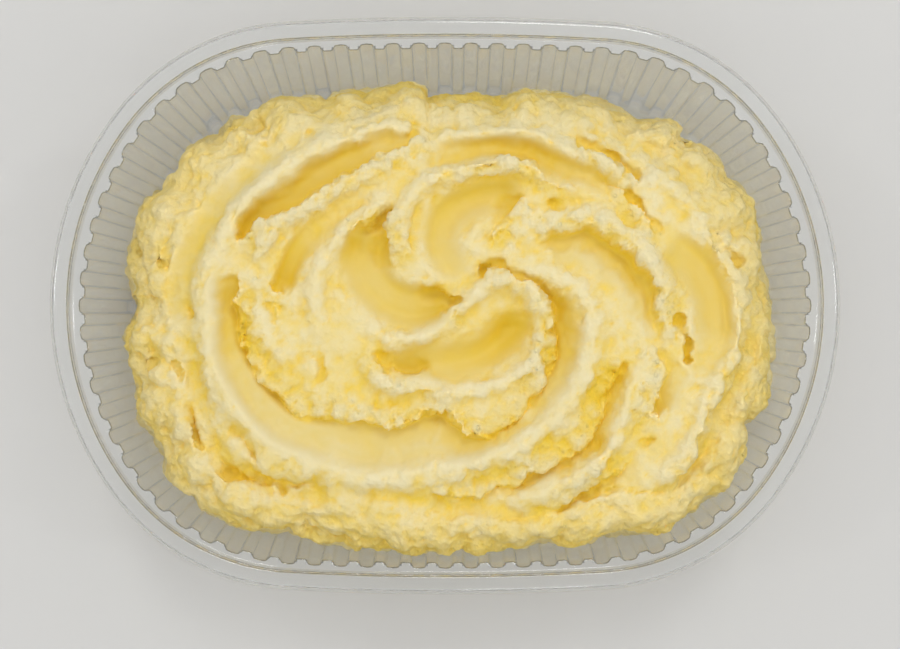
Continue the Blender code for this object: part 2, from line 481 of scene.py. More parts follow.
def nearness(places: Array, line: Array, reach: float) -> Nearness:
    """Finds the nearest point of a line for each place within reach.

    Args:
        places: Points, two numbers a row.
        line: The line's points, with further numbers.
        reach: How far away a place still counts.

    Returns:
        The places that count, their signed distances (left of the line is positive), how far
        along they are, and the line's further numbers there.
    """
    low, high = line[:, :2].min(axis=0) - reach, line[:, :2].max(axis=0) + reach
    chosen = np.nonzero(((places > low) & (places < high)).all(axis=1))[0]
    spots = places[chosen]
    start, step = line[:-1, :2], np.diff(line[:, :2], axis=0)
    lengths = np.hypot(step[:, 0], step[:, 1])
    run = np.concatenate([[0.0], np.cumsum(lengths)])
    best = np.full(len(spots), np.inf)
    aside = np.zeros(len(spots))
    along = np.zeros(len(spots))
    carried = np.zeros((len(spots), line.shape[1] - 2))
    for i, (origin, stride, length) in enumerate(zip(start, step, lengths)):
        away = spots - origin
        share = np.clip((away @ stride) / length**2, 0.0, 1.0)
        off = away - share[:, None] * stride
        far = np.hypot(off[:, 0], off[:, 1])
        closer = far < best
        best[closer] = far[closer]
        side = np.sign(stride[0] * away[closer, 1] - stride[1] * away[closer, 0])
        aside[closer] = far[closer] * side
        along[closer] = run[i] + share[closer] * length
        mix = share[closer, None]
        carried[closer] = line[i, 2:] * (1 - mix) + line[i + 1, 2:] * mix
    return Nearness(chosen, aside, along, float(run[-1]), carried)


def blurred(grid: Array, reach: int) -> Array:
    """The mean round each cell of a grid, three times over, which comes close to a soft blur.

    Args:
        grid: Values by row and column.
        reach: How many cells the mean takes in on each side.

    Returns:
        The blurred grid.
    """
    for axis in (0, 1, 0, 1, 0, 1):
        padded = np.pad(grid, [(reach + 1, reach) if side == axis else (0, 0) for side in (0, 1)], "edge")
        total = np.cumsum(padded, axis=axis)
        width = 2 * reach + 1
        high = np.take(total, np.arange(width, total.shape[axis]), axis=axis)
        low = np.take(total, np.arange(total.shape[axis] - width), axis=axis)
        grid = (high - low) / width
    return grid


def openness(grid: Array, steps: Sequence[int], bearings: int = 12) -> Array:
    """How much of the sky each point of a grid sees past its neighbours.

    Args:
        grid: Points by row and column.
        steps: How many cells away to look.
        bearings: How many ways round to look.

    Returns:
        Values from 0 to 1 by row and column.
    """
    rows, columns = np.arange(grid.shape[0]), np.arange(grid.shape[1])
    seen = np.zeros(grid.shape[:2])
    for angle in np.arange(bearings) * math.tau / bearings:
        horizon = np.zeros(grid.shape[:2])
        for step in steps:
            i = np.clip(rows + round(step * math.sin(angle)), 0, rows[-1])
            j = np.clip(columns + round(step * math.cos(angle)), 0, columns[-1])
            apart = grid[i][:, j] - grid
            flat = np.maximum(np.hypot(apart[..., 0], apart[..., 1]), 0.4)
            horizon = np.maximum(horizon, apart[..., 2] / flat)
        seen += 1 / (1 + horizon**2)
    return seen / bearings


def vertex_normals(points: Array, quads: Array) -> Array:
    """Unit normals at the points of a mesh of quads.

    Args:
        points: The mesh's points.
        quads: Four point numbers a face.

    Returns:
        One normal a point.
    """
    across = points[quads[:, 2]] - points[quads[:, 0]]
    normals = np.cross(across, points[quads[:, 3]] - points[quads[:, 1]])
    total = np.zeros_like(points)
    for corner in range(4):
        np.add.at(total, quads[:, corner], normals)
    return total / np.maximum(np.linalg.norm(total, axis=1, keepdims=True), 1e-12)


def grid_quads(numbers: Array, closed: bool = False) -> Array:
    """Quads over a grid of point numbers.

    Args:
        numbers: Point numbers by row and column.
        closed: Whether the last column meets the first.

    Returns:
        Four point numbers a face.
    """
    if closed:
        numbers = np.hstack([numbers, numbers[:, :1]])
    corners = [numbers[:-1, :-1], numbers[:-1, 1:], numbers[1:, 1:], numbers[1:, :-1]]
    return np.stack(corners, axis=-1).reshape(-1, 4)


def mesh_object(
    name: str, points: Array, faces: Sequence[Sequence[int]], material: bpy.types.Material
) -> bpy.types.Object:
    """Makes a smooth mesh object.

    Args:
        name: The object's name.
        points: Points in millimetres.
        faces: Point numbers by face.
        material: Its material.

    Returns:
        The object, which stands at the origin.
    """
    mesh = bpy.data.meshes.new(name)
    mesh.from_pydata((points * MM).tolist(), [], faces)
    mesh.materials.append(material)
    mesh.shade_smooth()
    made = bpy.data.objects.new(name, mesh)
    bpy.context.scene.collection.objects.link(made)
    return made


def give_values(mesh: bpy.types.Mesh, name: str, values: Array) -> None:
    """Stores one number, or one vector, at each point of a mesh.

    Args:
        mesh: The mesh.
        name: The attribute's name.
        values: The numbers, or rows of three.
    """
    kind, slot = ("FLOAT", "value") if values.ndim == 1 else ("FLOAT_VECTOR", "vector")
    stored = mesh.attributes.new(name, kind, "POINT")
    stored.data.foreach_set(slot, np.ascontiguousarray(values, dtype=np.float32).ravel())


def baked(obj: bpy.types.Object) -> bpy.types.Object:
    """Turns an object's modifiers into its mesh.

    Args:
        obj: The object.

    Returns:
        The same object, with no modifiers.
    """
    graph = bpy.context.evaluated_depsgraph_get()
    mesh = bpy.data.meshes.new_from_object(obj.evaluated_get(graph), depsgraph=graph)
    obj.modifiers.clear()
    spent = obj.data
    obj.data = mesh
    bpy.data.meshes.remove(spent)
    mesh.name = obj.name
    return obj


# ---------------------------------------------------------------------------------------------
# The tub
# ---------------------------------------------------------------------------------------------


@dataclass(frozen=True)
class Arc:
    """One arc of the rim's outline on the quarter where x and y are positive."""

    middle: tuple[float, float]
    radius: float
    start: float
    stop: float


@dataclass(frozen=True)
class RimOutline:
    """The rim's outline: on each quarter an arc of the end, of the corner and of the long side.

    A place is given by its inset, which is how far it lies inside the rim's outer edge, and by its
    turn, which is counted along the line that the ribs are spaced on.
    """

    length: float = 180.0
    width: float = 131.5
    side_radius: float = 630.0
    corner_radius: float = 53.0
    end_radius: float = 72.5
    pitch_inset: float = 10.5
    arcs: tuple[Arc, ...] = field(init=False)

    def __post_init__(self) -> None:
        """Works out the three arcs."""
        side = np.array([0.0, self.width / 2 - self.side_radius])
        end = np.array([self.length / 2 - self.end_radius, 0.0])
        across = end - side
        apart = np.hypot(*across)
        reach_side = self.side_radius - self.corner_radius
        reach_end = self.end_radius - self.corner_radius
        along = (apart**2 + reach_side**2 - reach_end**2) / (2 * apart)
        off = math.sqrt(reach_side**2 - along**2)
        unit = across / apart
        corner = side + unit * along + np.array([unit[1], -unit[0]]) * off
        to_side = math.atan2(corner[1] - side[1], corner[0] - side[0])
        to_end = math.atan2(corner[1] - end[1], corner[0] - end[0])
        arcs = (
            Arc(tuple(end), self.end_radius, 0.0, to_end),
            Arc(tuple(corner), self.corner_radius, to_end, to_side),
            Arc(tuple(side), self.side_radius, to_side, math.pi / 2),
        )
        object.__setattr__(self, "arcs", arcs)

    def _runs(self) -> list[float]:
        """Where each arc starts and ends along a quarter of the line that ribs are spaced on."""
        runs = [0.0]
        for arc in self.arcs:
            runs.append(runs[-1] + (arc.radius - self.pitch_inset) * (arc.stop - arc.start))
        return runs

    def places(self, turns: Array, insets: Array) -> Array:
        """Finds places from turns and insets.

        Args:
            turns: Turns, counted from the +X end.
            insets: Insets, one a turn.

        Returns:
            Points, two numbers a row.
        """
        runs = self._runs()
        quarters = np.mod(turns, 1.0) * 4
        number = np.floor(quarters).astype(int)
        rest = quarters - number
        rest = np.where(number % 2 == 1, 1.0 - rest, rest) * runs[-1]
        x, y = np.zeros(len(turns)), np.zeros(len(turns))
        for arc, start, stop in zip(self.arcs, runs, runs[1:]):
            here = (rest >= start) & (rest <= stop) if arc is self.arcs[-1] else (rest >= start) & (rest < stop)
            angle = arc.start + (rest[here] - start) / (arc.radius - self.pitch_inset)
            reach = arc.radius - insets[here]
            x[here] = arc.middle[0] + reach * np.cos(angle)
            y[here] = arc.middle[1] + reach * np.sin(angle)
        x = np.where((number == 1) | (number == 2), -x, x)
        return np.column_stack([x, np.where(number >= 2, -y, y)])

    def turns_and_insets(self, places: Array) -> tuple[Array, Array]:
        """Finds the turn and the inset of each place.

        Args:
            places: Points, two numbers a row.

        Returns:
            Turns and insets.
        """
        runs = self._runs()
        x, y = np.abs(places[:, 0]), np.abs(places[:, 1])
        turn, inset = np.zeros(len(x)), np.zeros(len(x))
        for arc, run in zip(self.arcs, runs):
            angle = np.arctan2(y - arc.middle[1], x - arc.middle[0])
            here = (angle >= arc.start) if arc is not self.arcs[0] else np.ones(len(x), dtype=bool)
            inset[here] = (arc.radius - np.hypot(x - arc.middle[0], y - arc.middle[1]))[here]
            turn[here] = (run + (angle[here] - arc.start) * (arc.radius - self.pitch_inset)) / runs[-1] / 4
        left, front = places[:, 0] < 0, places[:, 1] < 0
        turn = np.where(left, 0.5 - turn, turn)
        return np.where(front, 1.0 - turn, turn), inset


class RibInput(Enum):
    """The ribs' settings, as the inputs of their node group are named."""

    COUNT = "Rib Count"
    DEPTH = "Rib Depth"
    CREST = "Crest Share"
    FLANK = "Flank Share"
    BOW = "Lobe Bow"
    SHEET = "Sheet Material"


@dataclass(frozen=True)
class Ribs:
    """Upright ribs that stand inwards from the wall, with rounded lobes between them."""

    count: int = 76
    depth: float = 1.12
    crest: float = 0.27
    flank: float = 0.38
    bow: float = 0.12
    columns: tuple[float, ...] = (0.0, 0.25, 0.34, 0.46, 0.58, 0.67)

    def turns(self) -> Array:
        """The turns at which the tub's columns stand, closest where the ribs bend."""
        steps = np.array([*self.columns, *(2.0 - np.array([1.0, *self.columns[:0:-1]]))])
        return ((np.arange(self.count)[:, None] + 0.5 + steps[None] / 2) / self.count).ravel()

    def reach(self, turns: Array) -> Array:
        """How far the wall stands inwards at each turn.

        Args:
            turns: Turns round the rim.

        Returns:
            Distances in millimetres, below 0 in the middle of a lobe.
        """
        off = np.abs(np.mod(turns * self.count, 1.0) - 0.5) * 2
        rise = 1.0 - eased((off - self.crest) / self.flank)
        lobe = np.clip((off - self.crest - self.flank) / (1.0 - self.crest - self.flank), 0.0, 1.0)
        return self.depth * rise - self.bow * (1.0 - (1.0 - lobe) ** 2)

    def node_group(self) -> bpy.types.NodeTree:
        """Builds the Geometry Nodes group that sinks the ribs into a plain wall."""
        tree = bpy.data.node_groups.new("tub_ribs", "GeometryNodeTree")
        face = tree.interface
        face.new_socket("Geometry", in_out="INPUT", socket_type="NodeSocketGeometry")
        for name in RibInput:
            kind = "NodeSocketMaterial" if name is RibInput.SHEET else "NodeSocketFloat"
            face.new_socket(name.value, in_out="INPUT", socket_type=kind)
        face.new_socket("Geometry", in_out="OUTPUT", socket_type="NodeSocketGeometry")
        wiring = Wiring(tree)
        given = wiring.node("NodeGroupInput")
        asked = {name: Signal(tree, given.outputs[name.value]) for name in RibInput}

        def stored(name: str, kind: str) -> Signal:
            """Reads one of the wall's attributes."""
            settings = {"data_type": kind}
            return wiring.value("GeometryNodeInputNamedAttribute", settings, Name=name)

        turn = stored("turn", "FLOAT")
        share = (turn * asked[RibInput.COUNT]).maths("FRACT")
        off = (share - 0.5).maths("ABSOLUTE") * 2.0
        past = (off - asked[RibInput.CREST]) / asked[RibInput.FLANK]
        flank = wiring.value("ShaderNodeMapRange", {"interpolation_type": "SMOOTHSTEP"}, Value=past)
        reach = (1.0 - flank) * asked[RibInput.DEPTH]
        foot = asked[RibInput.CREST] + asked[RibInput.FLANK]
        lobe = wiring.value("ShaderNodeMapRange", Value=off, From_Min=foot, From_Max=1.0)
        bow = 1.0 - (1.0 - lobe) * (1.0 - lobe)
        reach = (reach - bow * asked[RibInput.BOW]) * stored("ribbed", "FLOAT")
        inward = stored("inward", "FLOAT_VECTOR")
        offset = wiring.value("ShaderNodeVectorMath", {"operation": "SCALE"}, _0=inward, Scale=reach)
        moved = wiring.node("GeometryNodeSetPosition", Geometry=given.outputs[0], Offset=offset)
        whole = wiring.node("GeometryNodeRealizeInstances", Geometry=moved.outputs[0])
        dressed = wiring.node(
            "GeometryNodeSetMaterial", Geometry=whole.outputs[0], Material=asked[RibInput.SHEET]
        )
        wiring.node("NodeGroupOutput", _0=dressed.outputs[0])
        return tree


def add_nodes(
    obj: bpy.types.Object, tree: bpy.types.NodeTree, settings: dict[Enum, object]
) -> bpy.types.NodesModifier:
    """Adds a Geometry Nodes modifier and sets its inputs.

    Args:
        obj: The object.
        tree: The node group.
        settings: Values by input.

    Returns:
        The modifier.
    """
    made = obj.modifiers.new(tree.name, "NODES")
    made.node_group = tree
    sockets = {item.name: item.identifier for item in tree.interface.items_tree if item.in_out == "INPUT"}
    for name, value in settings.items():
        made[sockets[name.value]] = value
    return made


@dataclass
class Tub:
    """The clear tub: one thin sheet, ribbed round its wall, with a flange for a lid."""

    finish: ClearSheet = field(default_factory=ClearSheet)
    outline: RimOutline = field(default_factory=RimOutline)
    ribs: Ribs = field(default_factory=Ribs)
    sheet: float = 0.22
    floor: float = 0.35
    panel: float = 1.35
    ring_step: float = 0.13
    rings: int = 9
    end_room: float = 0.7
    # Inset, height and how much of the ribs' depth each row has, from the skirt's free edge in.
    rim: tuple[tuple[float, float, float], ...] = (
        (0.03, 41.85, 0),
        (0.10, 42.15, 0),
        (0.50, 43.30, 0),
        (0.95, 44.35, 0),
        (1.12, 44.70, 0),
        (1.36, 44.90, 0),
        (1.70, 44.97, 0),
        (2.80, 44.97, 0),
        (3.95, 44.97, 0),
        (4.20, 44.91, 0),
        (4.34, 44.76, 0),
        (4.40, 44.45, 0),
        (4.46, 43.90, 0),
        (4.62, 43.45, 0),
        (4.62, 42.90, 0),
        (4.52, 42.45, 0),
        (4.82, 41.60, 0),
        (4.92, 41.20, 0),
        (5.12, 41.02, 0),
        (5.36, 41.00, 0),
        (5.76, 41.00, 1),
        (5.92, 40.97, 1),
        (6.02, 40.86, 1),
        (6.10, 40.55, 1),
    )
    heel: tuple[tuple[float, float, float], ...] = (
        (12.70, 4.60, 1),
        (13.05, 2.90, 0.95),
        (13.80, 1.60, 0.75),
        (14.90, 0.78, 0.42),
        (16.10, 0.42, 0.12),
        (16.90, 0.35, 0),
    )
    base: tuple[tuple[float, float, float], ...] = (
        (21.40, 0.35, 0),
        (21.80, 0.42, 0),
        (22.30, 0.85, 0),
        (22.80, 1.29, 0),
        (23.20, 1.35, 0),
    )

    def wall(self) -> list[tuple[float, float, float]]:
        """Rows down the wall, with a slight step at each of its rings, and round the heel."""
        (top, high, _), (foot, low, _) = self.rim[-1], self.heel[0]
        rows = []
        for i in range(1, self.rings + 1):
            share = i / (self.rings + 1)
            inset, height = top + (foot - top) * share, high + (low - high) * share
            rows.append((inset - self.ring_step / 2, height + 0.22, 1))
            rows.append((inset + self.ring_step / 2, height - 0.22, 1))
        return rows + list(self.heel)

    def end_inset(self, turns: Array) -> Array:
        """How much further in the wall stands towards the tub's two ends."""
        return self.end_room * eased((np.cos(turns * 4 * math.pi) - 0.1) / 0.8)

    def wall_insets(self, turns: Array, heights: Array) -> Array:
        """The inset of the wall's inner face at turns and heights.

        Args:
            turns: Turns round the rim.
            heights: Heights in millimetres.

        Returns:
            Insets in millimetres.
        """
        line = np.array([*self.rim[-4:], *self.wall()])[::-1]
        inset = np.interp(heights, line[:, 1], line[:, 0])
        weight = np.interp(heights, line[:, 1], line[:, 2])
        return inset + self.end_inset(turns) + weight * self.ribs.reach(turns)

    def build(self) -> bpy.types.Object:
        """Builds the tub's object."""
        material = self.finish.material()
        turns = self.ribs.turns()
        rows = [*self.rim, *self.wall(), *self.base]
        points, weights = [], []
        for inset, height, weight in rows:
            end_share = eased((inset - 4.7) / 0.6)
            flat = self.outline.places(turns, inset + end_share * self.end_inset(turns))
            points.append(np.column_stack([flat, np.full(len(turns), height)]))
            weights.append(np.full(len(turns), weight, dtype=float))
        inward = self.outline.places(turns, np.ones(len(turns))) - self.outline.places(turns, np.zeros(len(turns)))
        inward = np.column_stack([inward, np.zeros(len(turns))])
        numbers = np.arange(len(rows) * len(turns)).reshape(len(rows), -1)
        faces = grid_quads(numbers, closed=True).tolist()
        # The panel's middle: from each rib's columns to one point, and from those points one face.
        stride = len(turns) // self.ribs.count
        coarse = turns[::stride]
        middle = self.outline.places(coarse, np.full(len(coarse), 27.0))
        first = numbers.size
        points.append(np.column_stack([middle, np.full(len(coarse), self.panel)]))
        weights.append(np.zeros(len(coarse)))
        last = numbers[-1]
        for i in range(len(coarse)):
            j = (i + 1) % len(coarse)
            outer = [int(last[(i * stride + k) % len(turns)]) for k in range(stride + 1)]
            faces.append([*outer, first + j, first + i])
        faces.append(list(range(first, first + len(coarse))))
        obj = mesh_object("tub_clear", np.vstack(points), faces, material)
        give_values(obj.data, "turn", np.concatenate([np.tile(turns, len(rows)), coarse]))
        give_values(obj.data, "ribbed", np.concatenate(weights))
        give_values(obj.data, "inward", np.vstack([np.tile(inward, (len(rows), 1)), inward[::stride]]))
        add_nodes(
            obj,
            self.ribs.node_group(),
            {
                RibInput.COUNT: float(self.ribs.count),
                RibInput.DEPTH: self.ribs.depth * MM,
                RibInput.CREST: self.ribs.crest,
                RibInput.FLANK: self.ribs.flank,
                RibInput.BOW: self.ribs.bow * MM,
                RibInput.SHEET: material,
            },
        )
        solid = obj.modifiers.new("sheet", "SOLIDIFY")
        solid.thickness = self.sheet * MM
        solid.offset = -1.0
        solid.use_even_offset = False
        baked(obj)
        for name in ("turn", "ribbed", "inward"):
            stored = obj.data.attributes.get(name)
            if stored:
                obj.data.attributes.remove(stored)
        obj.data.shade_smooth()
        return obj


# ---------------------------------------------------------------------------------------------
# The mash
# ---------------------------------------------------------------------------------------------


@dataclass(frozen=True)
class Fold:
    """A torn edge where the spoon turned the mash over. It stands high on the left of its line.

    Each knot holds x, y, the drop over the edge and how far the low side's hollow reaches.
    """

    knots: tuple[tuple[float, float, float, float], ...]
    high: float = 7.0
    soft: float = 0.75
    curl: float = 0.8
    flat: float = 0.12


@dataclass(frozen=True)
class Stroke:
    """A trough along a line, or a ridge where its depth is below 0.

    Each knot holds x, y and the depth. The widths are its reach to the left and to the right.
    """

    knots: tuple[tuple[float, float, float], ...]
    left: float
    right: float
    flat: float = 0.1
    smooth: bool = True


FOLDS = (
    Fold(
        (
            (-47.3, 8, 1.0, 5), (-47.2, 3, 3.2, 6.5), (-46.8, -4, 3.2, 7.5), (-45, -10, 3, 8.5),
            (-41, -16, 2.6, 10), (-36.5, -20.5, 2.8, 11), (-31, -25, 2.2, 11), (-23, -25.6, 2.2, 11.5),
            (-16, -26.8, 2.8, 11), (-9.5, -26.8, 3.0, 10.5), (-5, -25.2, 3.3, 10.5),
            (-2.2, -23.6, 4.2, 11), (1.2, -24, 4, 10.5), (3, -27, 3.2, 10), (6, -28.8, 2.7, 8.5),
            (10, -28.8, 2.0, 6), (14, -26.8, 2, 4.5), (17.5, -23.5, 1.8, 5), (20.5, -19, 2.2, 6),
            (23, -15, 2.8, 6.5), (24.2, -10, 3.6, 7.5), (24.3, -5.5, 4.2, 7.5), (23.5, -1.5, 4.6, 7),
            (22.5, 1.5, 3.8, 4.5), (19.5, 5, 2.2, 2.5), (16, 7, 2.2, 2.5), (12.5, 8.3, 2.2, 3),
            (9.3, 7.8, 2.4, 3), (7, 6, 1, 2.5),
        ),
    ),
    Fold(
        (
            (-4, -42.3, 0.8, 4), (2, -43.4, 1.8, 4), (8, -43.3, 1.8, 4), (11, -41, 1.8, 4),
            (15, -40, 2.0, 4), (19, -37, 2.4, 4.5), (24, -36, 2.0, 4.5), (29, -34.5, 1.8, 4.5),
            (32.5, -31, 1.8, 4.5), (35, -25, 2.0, 4.5), (37, -19, 2.4, 4.5), (39.5, -14.5, 2.8, 4),
            (40.5, -11, 1.2, 3),
        ),
    ),
    Fold(
        (
            (23, -45.6, 0.8, 3), (27, -44, 1.8, 3), (32, -42, 2.2, 3), (36, -40.2, 2.2, 4),
            (39, -37.6, 2.0, 5), (41, -35, 1.0, 5), (43.2, -32, 0.6, 4),
        ),
    ),
    Fold(((50, -42.5, 0.8, 3), (53, -39.2, 1.8, 3.5), (56, -35, 2.2, 4), (58, -31, 1.5, 4), (59.5, -27, 0.6, 4))),
    Fold(
        (
            (49, -27.3, 0.8, 4), (47.2, -25, 2.6, 6), (47.5, -21, 3.2, 6.5), (49, -17.5, 2.8, 6),
            (50.2, -14.5, 2.2, 5), (49, -11.5, 1.8, 4), (46.5, -8.8, 1.3, 4), (45.2, -7, 0.6, 3),
        ),
    ),
    Fold(
        (
            (20, 13.6, 1.2, 5), (22, 15.8, 2.8, 6.5), (27, 16.9, 3.4, 8), (32, 17, 3.8, 8.5),
            (37, 15.3, 4, 9), (42, 11.3, 4.2, 9), (46, 6, 3.8, 8.5), (48.5, 0.5, 3.2, 7),
            (49.8, -5, 2, 5), (50.3, -9, 0.8, 3),
        ),
        soft=1.4,
        curl=0.4,
    ),
    Fold(
        (
            (31, 25.6, 0.6, 4), (27, 27.3, 1.2, 5), (23, 29, 1.5, 5.5), (21, 31.2, 2.2, 6),
            (17, 33.2, 2.4, 5), (12, 33.3, 2.2, 5), (7, 32.2, 1.8, 5.5), (1, 31.6, 1.5, 6),
            (-5, 30, 0.8, 5),
        ),
    ),
    Fold(
        (
            (-4.5, 41, 1, 3), (-6.5, 37, 2, 4), (-10, 35, 2.2, 5), (-14.5, 34.2, 2.8, 6),
            (-17, 31, 3.4, 7), (-22, 29.5, 3.6, 7.5), (-26.5, 27, 3.8, 8), (-31, 23.5, 3.8, 8),
            (-35.5, 20.5, 3.6, 7.5), (-39.5, 19.6, 3.8, 6.5), (-42.5, 17, 4, 5.5),
            (-45, 15.2, 3.6, 4.5), (-47.3, 14.2, 1.2, 3),
        ),
        flat=0.5,
    ),
    Fold(
        (
            (-9.5, 24.5, 0.8, 3), (-11.5, 21.5, 1.8, 3), (-13, 18, 3.2, 4.5), (-13, 15, 2.8, 5.5),
            (-12, 11.5, 2.2, 7), (-10.3, 8, 0.8, 6),
        ),
    ),
    Fold(
        (
            (-23.5, 13.5, 0.8, 4), (-21, 16.5, 1.8, 4), (-18.5, 18.5, 2.8, 4), (-15.5, 19.6, 3.2, 4),
            (-13.5, 19, 1.8, 3),
        ),
    ),
    Fold(((-7, 5.3, 0.8, 5), (-3, 4.8, 1.8, 5), (0, 3.9, 2.6, 4.5), (3, 3.1, 3, 4), (5, 1.8, 1.5, 3)), high=4.5),
    Fold(((5, 1.8, 1.2, 3), (3, 0, 2.2, 4), (0.5, -2, 1.6, 4), (-2, -3.8, 0.8, 4)), high=4.5),
    Fold(
        (
            (-2, -14.3, 0.6, 4), (-4.5, -15.5, 2, 5), (-8, -16.4, 2.6, 5), (-12, -15.5, 2.6, 5),
            (-15, -13.6, 2.4, 4.5), (-16.5, -11.3, 2, 4), (-15.5, -9.8, 0.8, 3),
        ),
        high=5.0,
    ),
    Fold(
        (
            (44.8, 28, 1.8, 3), (41, 29.5, 3, 3.2), (38, 31.8, 3.2, 3.2), (35, 34.3, 2.6, 3),
            (32, 35.8, 2, 3), (28.5, 36.9, 0.7, 2.5),
        ),
        flat=0.4,
    ),
    Fold(
        (
            (48.5, 16, 0.8, 2), (46.3, 18.8, 1.8, 2.2), (43.5, 22, 2, 2.5), (40.5, 24.4, 1.6, 2.8),
            (37, 26, 1, 3), (33.5, 26, 0.5, 3),
        ),
        flat=0.3,
    ),
    Fold(
        (
            (18.8, 24.4, 0.8, 3), (16.5, 22.8, 2.6, 4), (14.3, 20.5, 2.4, 4.5), (13.2, 18, 2, 4.5),
            (11, 15.5, 1.5, 4), (9.8, 12.5, 1, 3.5),
        ),
        high=4.5,
    ),
    Fold(((-35.3, 3.5, 1, 3), (-36.5, 2.6, 2.2, 3), (-38.5, 3, 2.4, 3), (-39.8, 5, 1.8, 3), (-39, 8, 0.8, 2.5))),
)

TROUGHS = {
    "eye": Stroke(
        ((15.5, 0, 3.6), (15, -4.5, 5), (11, -8.5, 4.4), (5, -11, 3.4), (-2, -12.8, 2.6), (-8, -13, 2.4), (-13, -12, 2)),
        7.5, 6, 0,
    ),
    "left bowl": Stroke(
        ((-16, 17, 3.6), (-17.2, 13, 3.2), (-17, 9, 3), (-14, 4, 3), (-8, 1, 3.2), (-2, 1.5, 3.4), (2.5, 1.8, 3.2)),
        5.5, 9, 0.25,
    ),
    "upper bowl": Stroke(
        ((18, 26, 2.4), (12, 25.5, 3), (5, 24, 3.3), (0, 20, 3.2), (-2, 15, 2.6), (0, 10, 2), (4, 6, 1.5)),
        8, 5, 0.05,
    ),
    "pocket by the hook": Stroke(((7, 9.8, 2.2), (10, 9.3, 2.2)), 1.6, 1.6),
    "crease in the upper right": Stroke(((19, 22.6, 1), (24, 23, 1), (29, 22.8, 1)), 0.9, 0.9),
    "left pocket": Stroke(
        ((-38, 3.6, 3), (-36.7, 8, 3.2), (-33.5, 13, 2.2), (-29, 17.5, 1.1), (-23, 21.5, 0.7), (-16, 25.5, 0.4)),
        3, 4, 0.25,
    ),
    "upper sweep": Stroke(
        ((-2, 34.5, 0.8), (6, 36, 1.6), (14, 36.4, 1.8), (21, 34.8, 1.8), (28, 31.5, 1.8), (34, 28, 1.4), (39, 24.5, 0.6)),
        3.5, 4,
    ),
    "outer right sweep": Stroke(
        ((50, 15.5, 1), (55, 12, 2), (59, 7.5, 2.6), (61.5, 1.5, 2.8), (62.3, -5, 2.2), (60.5, -11, 1.2), (57, -16, 1)),
        4, 8, 0.2,
    ),
    "right slot": Stroke(((52.8, -2.5, 1.4), (54, -6, 2.4), (55, -9.5, 2.6), (55.3, -13, 2.2)), 1.3, 1.3),
    "lower right notch": Stroke(((44, -31.2, 1.5), (46, -31, 1.8), (47.5, -30.3, 1)), 1.2, 1.2),
    "lower left hook": Stroke(
        ((-50, -28.8, 1), (-47.5, -28.6, 2), (-45.5, -30, 2), (-43.6, -33, 1.4), (-42.3, -37, 1)), 1.8, 1.8
    ),
    "outer left crack": Stroke(((-58.5, -21.5, 1), (-57.5, -26, 2), (-56, -30, 1.8), (-54.8, -34, 1)), 1.6, 1.6),
    "lower left crack": Stroke(
        ((-51.5, -35.5, 1), (-48.5, -38.5, 1.8), (-45, -39.5, 1.8), (-41.5, -39, 1.6), (-37.5, -41, 1.6),
         (-33, -41.5, 1.5), (-31, -39.6, 1.3), (-28, -40.5, 1)),
        1.6, 1.6,
    ),
    "lower right crease": Stroke(((36, -42.3, 1.2), (42, -42, 1.2), (50, -42.5, 1.2)), 0.8, 0.8),
    "inner left pit": Stroke(((-34, -12, 0.6), (-29, -12, 1.4), (-28, -15, 1.2), (-27.8, -17.5, 0.8)), 1.6, 1.6),
    "left pit": Stroke(((-40, 0, 1), (-39.3, -3.5, 1)), 0.9, 0.9),
    "outer left pit": Stroke(((-64.3, 8.5, 1.2), (-63.3, 12, 1.2), (-62, 13.5, 1.2)), 0.9, 0.9),
    "left notch": Stroke(((-58.5, 0, 1.3), (-58, -4, 1.3)), 0.9, 0.9),
    "left edge notch": Stroke(((-67.5, -11, 1.2), (-67, -14, 1.2)), 0.9, 0.9),
    "lower left notch": Stroke(((-61.5, -13, 1.3), (-60.5, -18, 1.3)), 1.2, 1.2),
    "upper left notch": Stroke(((-49, 36, 1), (-47, 35.5, 1)), 0.9, 0.9),
    "upper left pit": Stroke(((-42, 36.8, 1), (-39.5, 36.8, 1)), 0.9, 0.9),
    "top left pit": Stroke(((-31, 38.5, 1.3), (-28, 39, 1.3)), 1.2, 1.2),
    "outer right crease": Stroke(((59.5, 18, 1), (62, 14.5, 1.5), (65, 11.5, 1.5), (67, 9, 1)), 1, 1),
}

